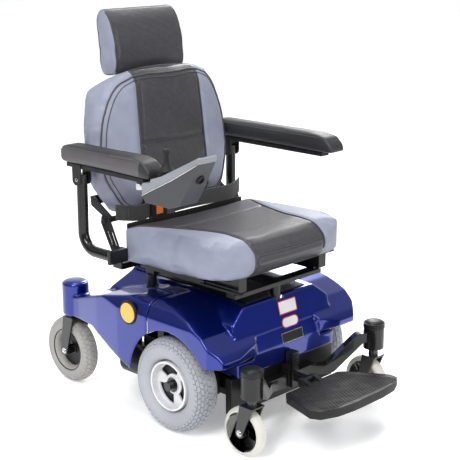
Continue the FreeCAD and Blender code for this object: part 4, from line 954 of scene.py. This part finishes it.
def add_tyre(name, node, material, body, rows, count, depth, gap, slant):
    """A tyre with real tread blocks, standing to the node's own outline.

    rows of count blocks lie round it, with gap as the share of each cell that is left open.
    """
    low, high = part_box(node)
    centre = middle_of(node)
    radius = (high[2] - low[2]) / 2
    size = (radius - depth, (high[0] - low[0]) / 2 - depth, radius * 0.52)
    points = []
    faces = []
    for step in range(TYRE_RING):
        for part in range(TYRE_SECTION):
            across = 2 * math.pi * part / TYRE_SECTION
            points.append(tyre_point(centre, size, across, 2 * math.pi * step / TYRE_RING))
    for step in range(TYRE_RING):
        ring = range(step * TYRE_SECTION, (step + 1) * TYRE_SECTION)
        after = (step + 1) % TYRE_RING
        faces += loop_faces(ring, range(after * TYRE_SECTION, (after + 1) * TYRE_SECTION))
    pitch = 2 * math.pi / count
    row_arc = TREAD_ARC / rows
    for row in range(rows):
        across_start = -TREAD_ARC / 2 + row_arc * (row + gap / 2)
        lean = slant if row % 2 else -slant
        for number in range(count):
            around_start = pitch * (number + 0.5 * (row % 2) + gap / 2)

            def place_of(share_u, share_v, lift):
                across = across_start + row_arc * (1 - gap) * share_u
                around = around_start + pitch * ((1 - gap) * share_v + lean * (share_u - 0.5))
                return tyre_point(centre, size, across, around, lift)

            add_tread_block(points, faces, place_of, depth)
    tyre = add_piece(name, points, faces, material, body, sharp=38)
    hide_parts(node)


for side, sign in SIDES:
    add_tyre("drive_tyre_tread_" + side, "drive_tyre_" + side, "drive_tyre", "drive_wheel_" + side,
             rows=9, count=46, depth=0.0022, gap=0.22, slant=0.28)
    add_tyre("rear_tyre_tread_" + side, "rear_caster_tyre_" + side, "rear_tyre", "rear_wheel_" + side,
             rows=5, count=40, depth=0.0015, gap=0.2, slant=0.2)


def add_window_shade_disc(name, rim_node, tyre_node, offset, inner, thickness, body):
    """A dark ring behind a wheel's windows, a little outboard of the tyre's middle: painted shade that stands
    in for the shaded inside of the wheel.
    """
    low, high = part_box(rim_node)
    outer = (high[2] - low[2]) / 2 - 0.005
    centre = middle_of(tyre_node)
    outward = 1 if centre.x > 0 else -1
    centre.x += outward * offset
    half = thickness / 2
    profile = [(half, inner), (half, outer), (-half, outer), (-half, inner)]
    steps = 64
    points, faces = turned(profile, centre, (outward, 0, 0), steps, capped=False)
    faces += loop_faces(range(3 * steps, 4 * steps), range(steps))
    add_piece(name, points, faces, "satin", body)


# Dark rings behind the windows of every rim: painted shade for the shaded inside of the wheels.
for side, sign in SIDES:
    add_window_shade_disc("drive_rim_backing_" + side, "drive_rim_" + side, "drive_tyre_" + side, 0.002, 0.016, 0.003,
                "drive_wheel_" + side)
    for end in ("front", "rear"):
        add_window_shade_disc("%s_caster_backing_%s" % (end, side), "%s_caster_rim_%s" % (end, side),
                    "%s_caster_tyre_%s" % (end, side), 0, 0.010, 0.0015, "%s_wheel_%s" % (end, side))


# ---------------------------------------------------------------- belt, controller and small details


belt_low, belt_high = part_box("belt_straps")
belt_y = (belt_low[1] + belt_high[1]) / 2
BELT_MARGIN = 0.002
WEBBING_THICKNESS = 0.0026
WEBBING_WAVE = 0.0015
TUCK_START = 0.175
TUCK_LENGTH = 0.068
TUCK_DEPTH = 0.016


def ribbon(name, start, end):
    """A flat length of webbing that waves a little along X and turns back at the cushion's sides."""
    low_z = belt_low[2] + BELT_MARGIN
    high_z = belt_high[2] - BELT_MARGIN
    points = []
    faces = []
    steps = 40
    for step in range(steps + 1):
        share = step / steps
        x = start + (end - start) * share
        tucked = min(max((abs(x) - TUCK_START) / TUCK_LENGTH, 0), 1)
        wave = WEBBING_WAVE * math.sin(share * math.pi * 2.2) + TUCK_DEPTH * tucked * tucked
        for y_side, z in ((-1, low_z), (1, low_z), (1, high_z), (-1, high_z)):
            points.append(Vector((x, belt_y + wave + y_side * WEBBING_THICKNESS / 2, z + wave * 0.6)))
    for step in range(steps):
        faces += loop_faces(range(step * 4, step * 4 + 4), range(step * 4 + 4, step * 4 + 8))
    faces.append((0, 1, 2, 3))
    faces.append(tuple(steps * 4 + corner for corner in (3, 2, 1, 0)))
    strap = add_piece(name, points, faces, "webbing", "belt", sharp=30)
    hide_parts("belt_straps")


TRIM_HALF = 0.226
trim_low = (-TRIM_HALF, SEAT_HIGH[1] + 0.0045, 0.440)
trim_high = (TRIM_HALF, SEAT_HIGH[1] + 0.0070, 0.5215)
block("seat_rear_trim", trim_low, trim_high, "satin", "seat", bevel=0.0012)
ribbon("belt_webbing_right", belt_low[0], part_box("belt_buckle")[0][0] + 0.004)
ribbon("belt_webbing_left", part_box("belt_tongue")[1][0] - 0.004, belt_high[0])
for strap_name, reach in (("belt_webbing_right", (belt_low[0] + 0.012, belt_low[0] + 0.03)),
                          ("belt_webbing_left", (belt_high[0] - 0.03, belt_high[0] - 0.012))):
    for number, x in enumerate(reach):
        rows = []
        for step in range(9):
            z = belt_low[2] + 0.006 + (belt_high[2] - belt_low[2] - 0.012) * step / 8
            rows.append(Vector((x, belt_y - 0.0016, z)))
        tube("%s_stitching_%d" % (strap_name, number), rows, 0.0005, "piping", "belt", smooth=False)

# The joystick's bellows and the controller's trim and charger port.
STICK = at(-291, -5, 700)
fold_profile = []
for fold in range(5):
    height = 0.005 + fold * 0.0055
    radius = 0.0205 - fold * 0.0028
    fold_profile += [(height, radius), (height + 0.0026, radius - 0.0042)]
fold_profile.append((0.0335, 0.0065))
boot = add_turned("joystick_boot", fold_profile, STICK, (0, 0, 1), "rubber", None,
                  steps=48, sharp=60)
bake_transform(boot)

PORT_CENTRE = at(-291, -126, 709)
PORT_FACING = (0, -0.884, -0.468)
port_profile = [(0, 0.0125), (0.003, 0.0125), (0.0042, 0.0115), (0.0042, 0.0085), (0.0008, 0.0080),
                (0.0008, 0.0002)]
add_turned("charger_port", port_profile, PORT_CENTRE, PORT_FACING, "satin", "controller", steps=40)
CASE_MIDDLE = -291
CASE_HALF = 32.9
CASE_SEAM = ((53, 645.6), (20, 662.5), (-20, 682.6), (-60, 702.6), (-104, 727.6), (-147, 752))
for side_name, x in (("outer", CASE_MIDDLE - CASE_HALF), ("inner", CASE_MIDDLE + CASE_HALF)):
    trim = [at(x, y, z) for y, z in CASE_SEAM]
    tube("controller_trim_" + side_name, trim, 0.0013, "steel", "controller", smooth=False)

# Reflector bezels.
for side, sign in SIDES:
    low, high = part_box("side_reflectors")
    x = sign * (high[0] - 0.0035)
    centre = Vector((x, (low[1] + high[1]) / 2, (low[2] + high[2]) / 2))
    bezel = [(-0.004, 0.033), (0.001, 0.033), (0.0028, 0.0315), (0.0028, 0.0285), (-0.004, 0.0282)]
    points, faces = turned(bezel, centre, (sign, 0, 0), 48, capped=False)
    add_piece("reflector_bezel_" + side, points, faces, "plastic", "base", sharp=40)

# Domed tops on the caster barrels and on the rear covers.
CAP_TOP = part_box("caster_caps")[1][2] - 0.001
DOME_PROFILE = ((-0.003, 1.0), (0.0, 1.0), (0.0025, 0.95), (0.0048, 0.84), (0.0068, 0.66), (0.0080, 0.42),
                (0.0085, 0.18))
DOME_TIP = (0.0086, 0.0002)
for side, sign in SIDES:
    for end, x, y, top, radius, material in (
        ("front", 0.249, at(0, -264, 0).y, CAP_TOP, 0.0280, "satin"),
        ("rear", 0.235, at(0, 452, 0).y, 0.3085, 0.0355, "blue"),
    ):
        dome = [(height, radius * share) for height, share in DOME_PROFILE] + [DOME_TIP]
        place = Vector((sign * x, y, top))
        add_turned("%s_barrel_dome_%s" % (end, side), dome, place, (0, 0, 1), material, "base")

# Blank labels on the front panel.
PANEL_TOP = at(0, -130, 343)
PANEL_LOW = at(0, -163, 216)
PANEL_SLOPE = (PANEL_TOP - PANEL_LOW).normalized()
PANEL_OUT = Vector((0, -PANEL_SLOPE.z, PANEL_SLOPE.y))
LABEL_X = 0.022
LABEL_THICKNESS = 0.0005
BORDER_LIFT = 0.0018
FACE_LIFT = 0.0024


def on_panel(x, z, lift):
    """A point on the front panel at a height, raised off it."""
    share = (z - PANEL_LOW.z) / (PANEL_TOP.z - PANEL_LOW.z)
    place = PANEL_LOW + (PANEL_TOP - PANEL_LOW) * share
    return Vector((x, place.y, z)) + PANEL_OUT * lift


def label(name, x, z, wide, tall, corner, material, lift):
    """A thin blank plate with rounded corners on the front panel."""
    points = []
    steps = 8
    for quarter, (side_x, side_z) in enumerate(((1, 1), (-1, 1), (-1, -1), (1, -1))):
        for step in range(steps + 1):
            angle = math.radians(90 * quarter + 90 * step / steps)
            dx = side_x * (wide / 2 - corner) + corner * math.cos(angle)
            dz = side_z * (tall / 2 - corner) + corner * math.sin(angle)
            points.append(on_panel(x + dx, z + dz * PANEL_SLOPE.z, lift))
    count = len(points)
    raised = [point + PANEL_OUT * LABEL_THICKNESS for point in points]
    faces = [tuple(range(count, 2 * count)), tuple(range(count))[::-1]]
    faces += loop_faces(range(count), range(count, 2 * count))
    add_piece(name, points + raised, faces, material, "base", sharp=30)


# Each label is a border plate with a smaller face plate on it: width, height, corner and finish of both.
for name, z, border, face in (
    ("rating_label", 0.311, (0.072, 0.038, 0.003, "label_red"), (0.066, 0.032, 0.002, "label")),
    ("oval_badge", 0.270, (0.066, 0.030, 0.0149, "label_red"), (0.060, 0.024, 0.0119, "label")),
    ("maker_plate", 0.232, (0.084, 0.028, 0.003, "steel"), (0.080, 0.024, 0.002, "satin")),
):
    label(name + "_border", LABEL_X, z, *border, BORDER_LIFT)
    label(name + "_face", LABEL_X, z, *face, FACE_LIFT)

# Footplate tread: fine ribs, laid on the plate.
FOOT_LOW, FOOT_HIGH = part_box("footplate")
foot_tree = surface_tree(NODES["footplate"])
RIB_HALF = 0.0009
RIB_HEIGHT = 0.0011
RIB_PITCH = 0.0105
RIB_SLANT = 0.55
TREAD_START = FOOT_LOW[1] + 0.014
TREAD_LENGTH = FOOT_HIGH[1] - FOOT_LOW[1] - 0.045
TREAD_HALF_REAR = 0.092
TREAD_HALF_FRONT = FOOT_HIGH[0] - 0.018


def tread_half(y):
    """Half the width of the tread at a place along the footplate."""
    share = (FOOT_HIGH[1] - y) / (FOOT_HIGH[1] - FOOT_LOW[1])
    return TREAD_HALF_REAR + (TREAD_HALF_FRONT - TREAD_HALF_REAR) * min(1.0, share * 1.15)


def add_rib(points, faces, run):
    """A low three-sided rib along a run of places, if it has a length."""
    if len(run) < 2:
        return
    first = len(points)
    for place in run:
        points.append(place + Vector((-RIB_HALF, 0, -0.0002)))
        points.append(place + Vector((0, 0, RIB_HEIGHT)))
        points.append(place + Vector((RIB_HALF, 0, -0.0002)))
    for base in range(first, len(points) - 3, 3):
        faces += loop_faces(range(base, base + 3), range(base + 3, base + 6))
    last = len(points) - 3
    faces.append((first, first + 1, first + 2))
    faces.append((last + 2, last + 1, last))


def add_footplate_tread():
    """Two sets of slanted ribs that cross, as one mesh."""
    points = []
    faces = []
    steps = 60
    for slant in (-RIB_SLANT, RIB_SLANT):
        for number in range(-46, 47):
            run = []
            for step in range(steps + 1):
                y = TREAD_START + TREAD_LENGTH * step / steps
                x = number * RIB_PITCH + slant * (y - FOOT_LOW[1])
                if abs(x) > tread_half(y):
                    add_rib(points, faces, run)
                    run = []
                    continue
                place, normal, index, distance = foot_tree.ray_cast(Vector((x, y, 0.5)), Vector(DOWN))
                if place is not None and normal.z >= 0.85:
                    run.append(place)
            add_rib(points, faces, run)
    add_piece("footplate_tread", points, faces, "rubber", "footplate", sharp=30)


add_footplate_tread()

# Silver bolts on the armrest hinges.
for side, sign in SIDES:
    hinge = Vector((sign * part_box("arm_posts")[1][0], at(0, 335, 0).y, 0.640))
    bolt("armrest_hinge_bolt_" + side, hinge, (sign, 0, 0), 0.0075, "arm_" + side)


# ---------------------------------------------------------------- floor, lights and camera


def make_floor():
    """A pale floor that bends up into a wall far behind the object, as the camera sees it."""
    graph = Graph("studio_floor_paint")
    broad = graph.noise(0.8, 3)
    tint = graph.blend(graph.spread(broad, 0.3, 0.7, 0, 1), (0.93, 0.93, 0.935, 1), (0.95, 0.95, 0.95, 1))
    paper = graph.finish(tint, 0.55, graph.bump(graph.noise(60, 3), 0.0004, 0.2))
    graph.shader.inputs["Emission Color"].default_value = (1, 1, 1, 1)
    graph.shader.inputs["Emission Strength"].default_value = 0.30
    near_reach = 9.0
    bend_start = 4.0
    bend_radius = 2.0
    wall_height = 9.0
    half_width = 12
    profile = [(-near_reach, 0.0), (bend_start, 0.0)]
    for step in range(1, 17):
        angle = math.radians(90 * step / 16)
        bend_height = bend_radius - bend_radius * math.cos(angle)
        profile.append((bend_start + bend_radius * math.sin(angle), bend_height))
    profile.append((bend_start + bend_radius, wall_height))
    facing = math.radians(-45.8)
    away = Vector((-math.sin(facing), math.cos(facing), 0))
    across = Vector((math.cos(facing), math.sin(facing), 0))
    points = []
    for along, height in profile:
        for side_reach in (-half_width, half_width):
            points.append(away * along + across * side_reach + Vector((0, 0, height)))
    faces = [(step * 2, step * 2 + 1, step * 2 + 3, step * 2 + 2) for step in range(len(profile) - 1)]
    mesh = mesh_from("studio_floor", points, faces)
    mesh.materials.append(paper)
    floor = bpy.data.objects.new("studio_floor", mesh)
    bpy.context.collection.objects.link(floor)


def add_light(name, place, target, size, power):
    """A rectangular studio light aimed at a point."""
    data = bpy.data.lights.new(name, "AREA")
    data.shape = "RECTANGLE"
    data.size, data.size_y = size
    data.energy = power
    lamp = bpy.data.objects.new(name, data)
    lamp.location = place
    lamp.rotation_euler = (Vector(target) - Vector(place)).to_track_quat("-Z", "Y").to_euler()
    bpy.context.collection.objects.link(lamp)


make_floor()
add_light("key_softbox", (-2.6, -1.0, 2.9), (0, 0, 0.4), (0.9, 1.7), 92)
add_light("front_softbox", (0.6, -3.4, 1.9), (0, 0, 0.4), (0.5, 1.8), 44)
add_light("rim_strip", (2.6, 1.6, 2.4), (0, 0, 0.5), (0.6, 2.4), 62)
add_light("overhead", (0, 0.3, 3.6), (0, 0, 0.4), (2.2, 1.4), 48)

# The sky is dark near the horizon and bright overhead, so that gloss shows soft highlights.
world = bpy.data.worlds.new("studio_world")
world.use_nodes = True
sky = world.node_tree
backdrop = sky.nodes["Background"]
backdrop.inputs["Color"].default_value = (0.95, 0.97, 1.0, 1)
direction = sky.nodes.new("ShaderNodeTexCoord")
split = sky.nodes.new("ShaderNodeSeparateXYZ")
glow = sky.nodes.new("ShaderNodeMapRange")
for socket_name, amount in (("From Min", 0.02), ("From Max", 0.75), ("To Min", 0.06), ("To Max", 0.62)):
    glow.inputs[socket_name].default_value = amount
sky.links.new(direction.outputs["Generated"], split.inputs[0])
sky.links.new(split.outputs[2], glow.inputs["Value"])
sky.links.new(glow.outputs["Result"], backdrop.inputs["Strength"])
bpy.context.scene.world = world

bpy.context.scene.view_settings.view_transform = "Standard"

CAMERA_PLACE = Vector((-2.259, -2.2049, 1.339))
CAMERA_TARGET = Vector((0, -0.0089, 0.492))
camera_data = bpy.data.cameras.new("camera")
camera_data.lens = 92.2
camera_data.sensor_width = 36
camera_data.clip_end = 60
camera = bpy.data.objects.new("camera", camera_data)
camera.location = CAMERA_PLACE
look = CAMERA_TARGET - CAMERA_PLACE
camera.rotation_euler = look.to_track_quat("-Z", "Y").to_euler()
bpy.context.collection.objects.link(camera)
bpy.context.scene.camera = camera
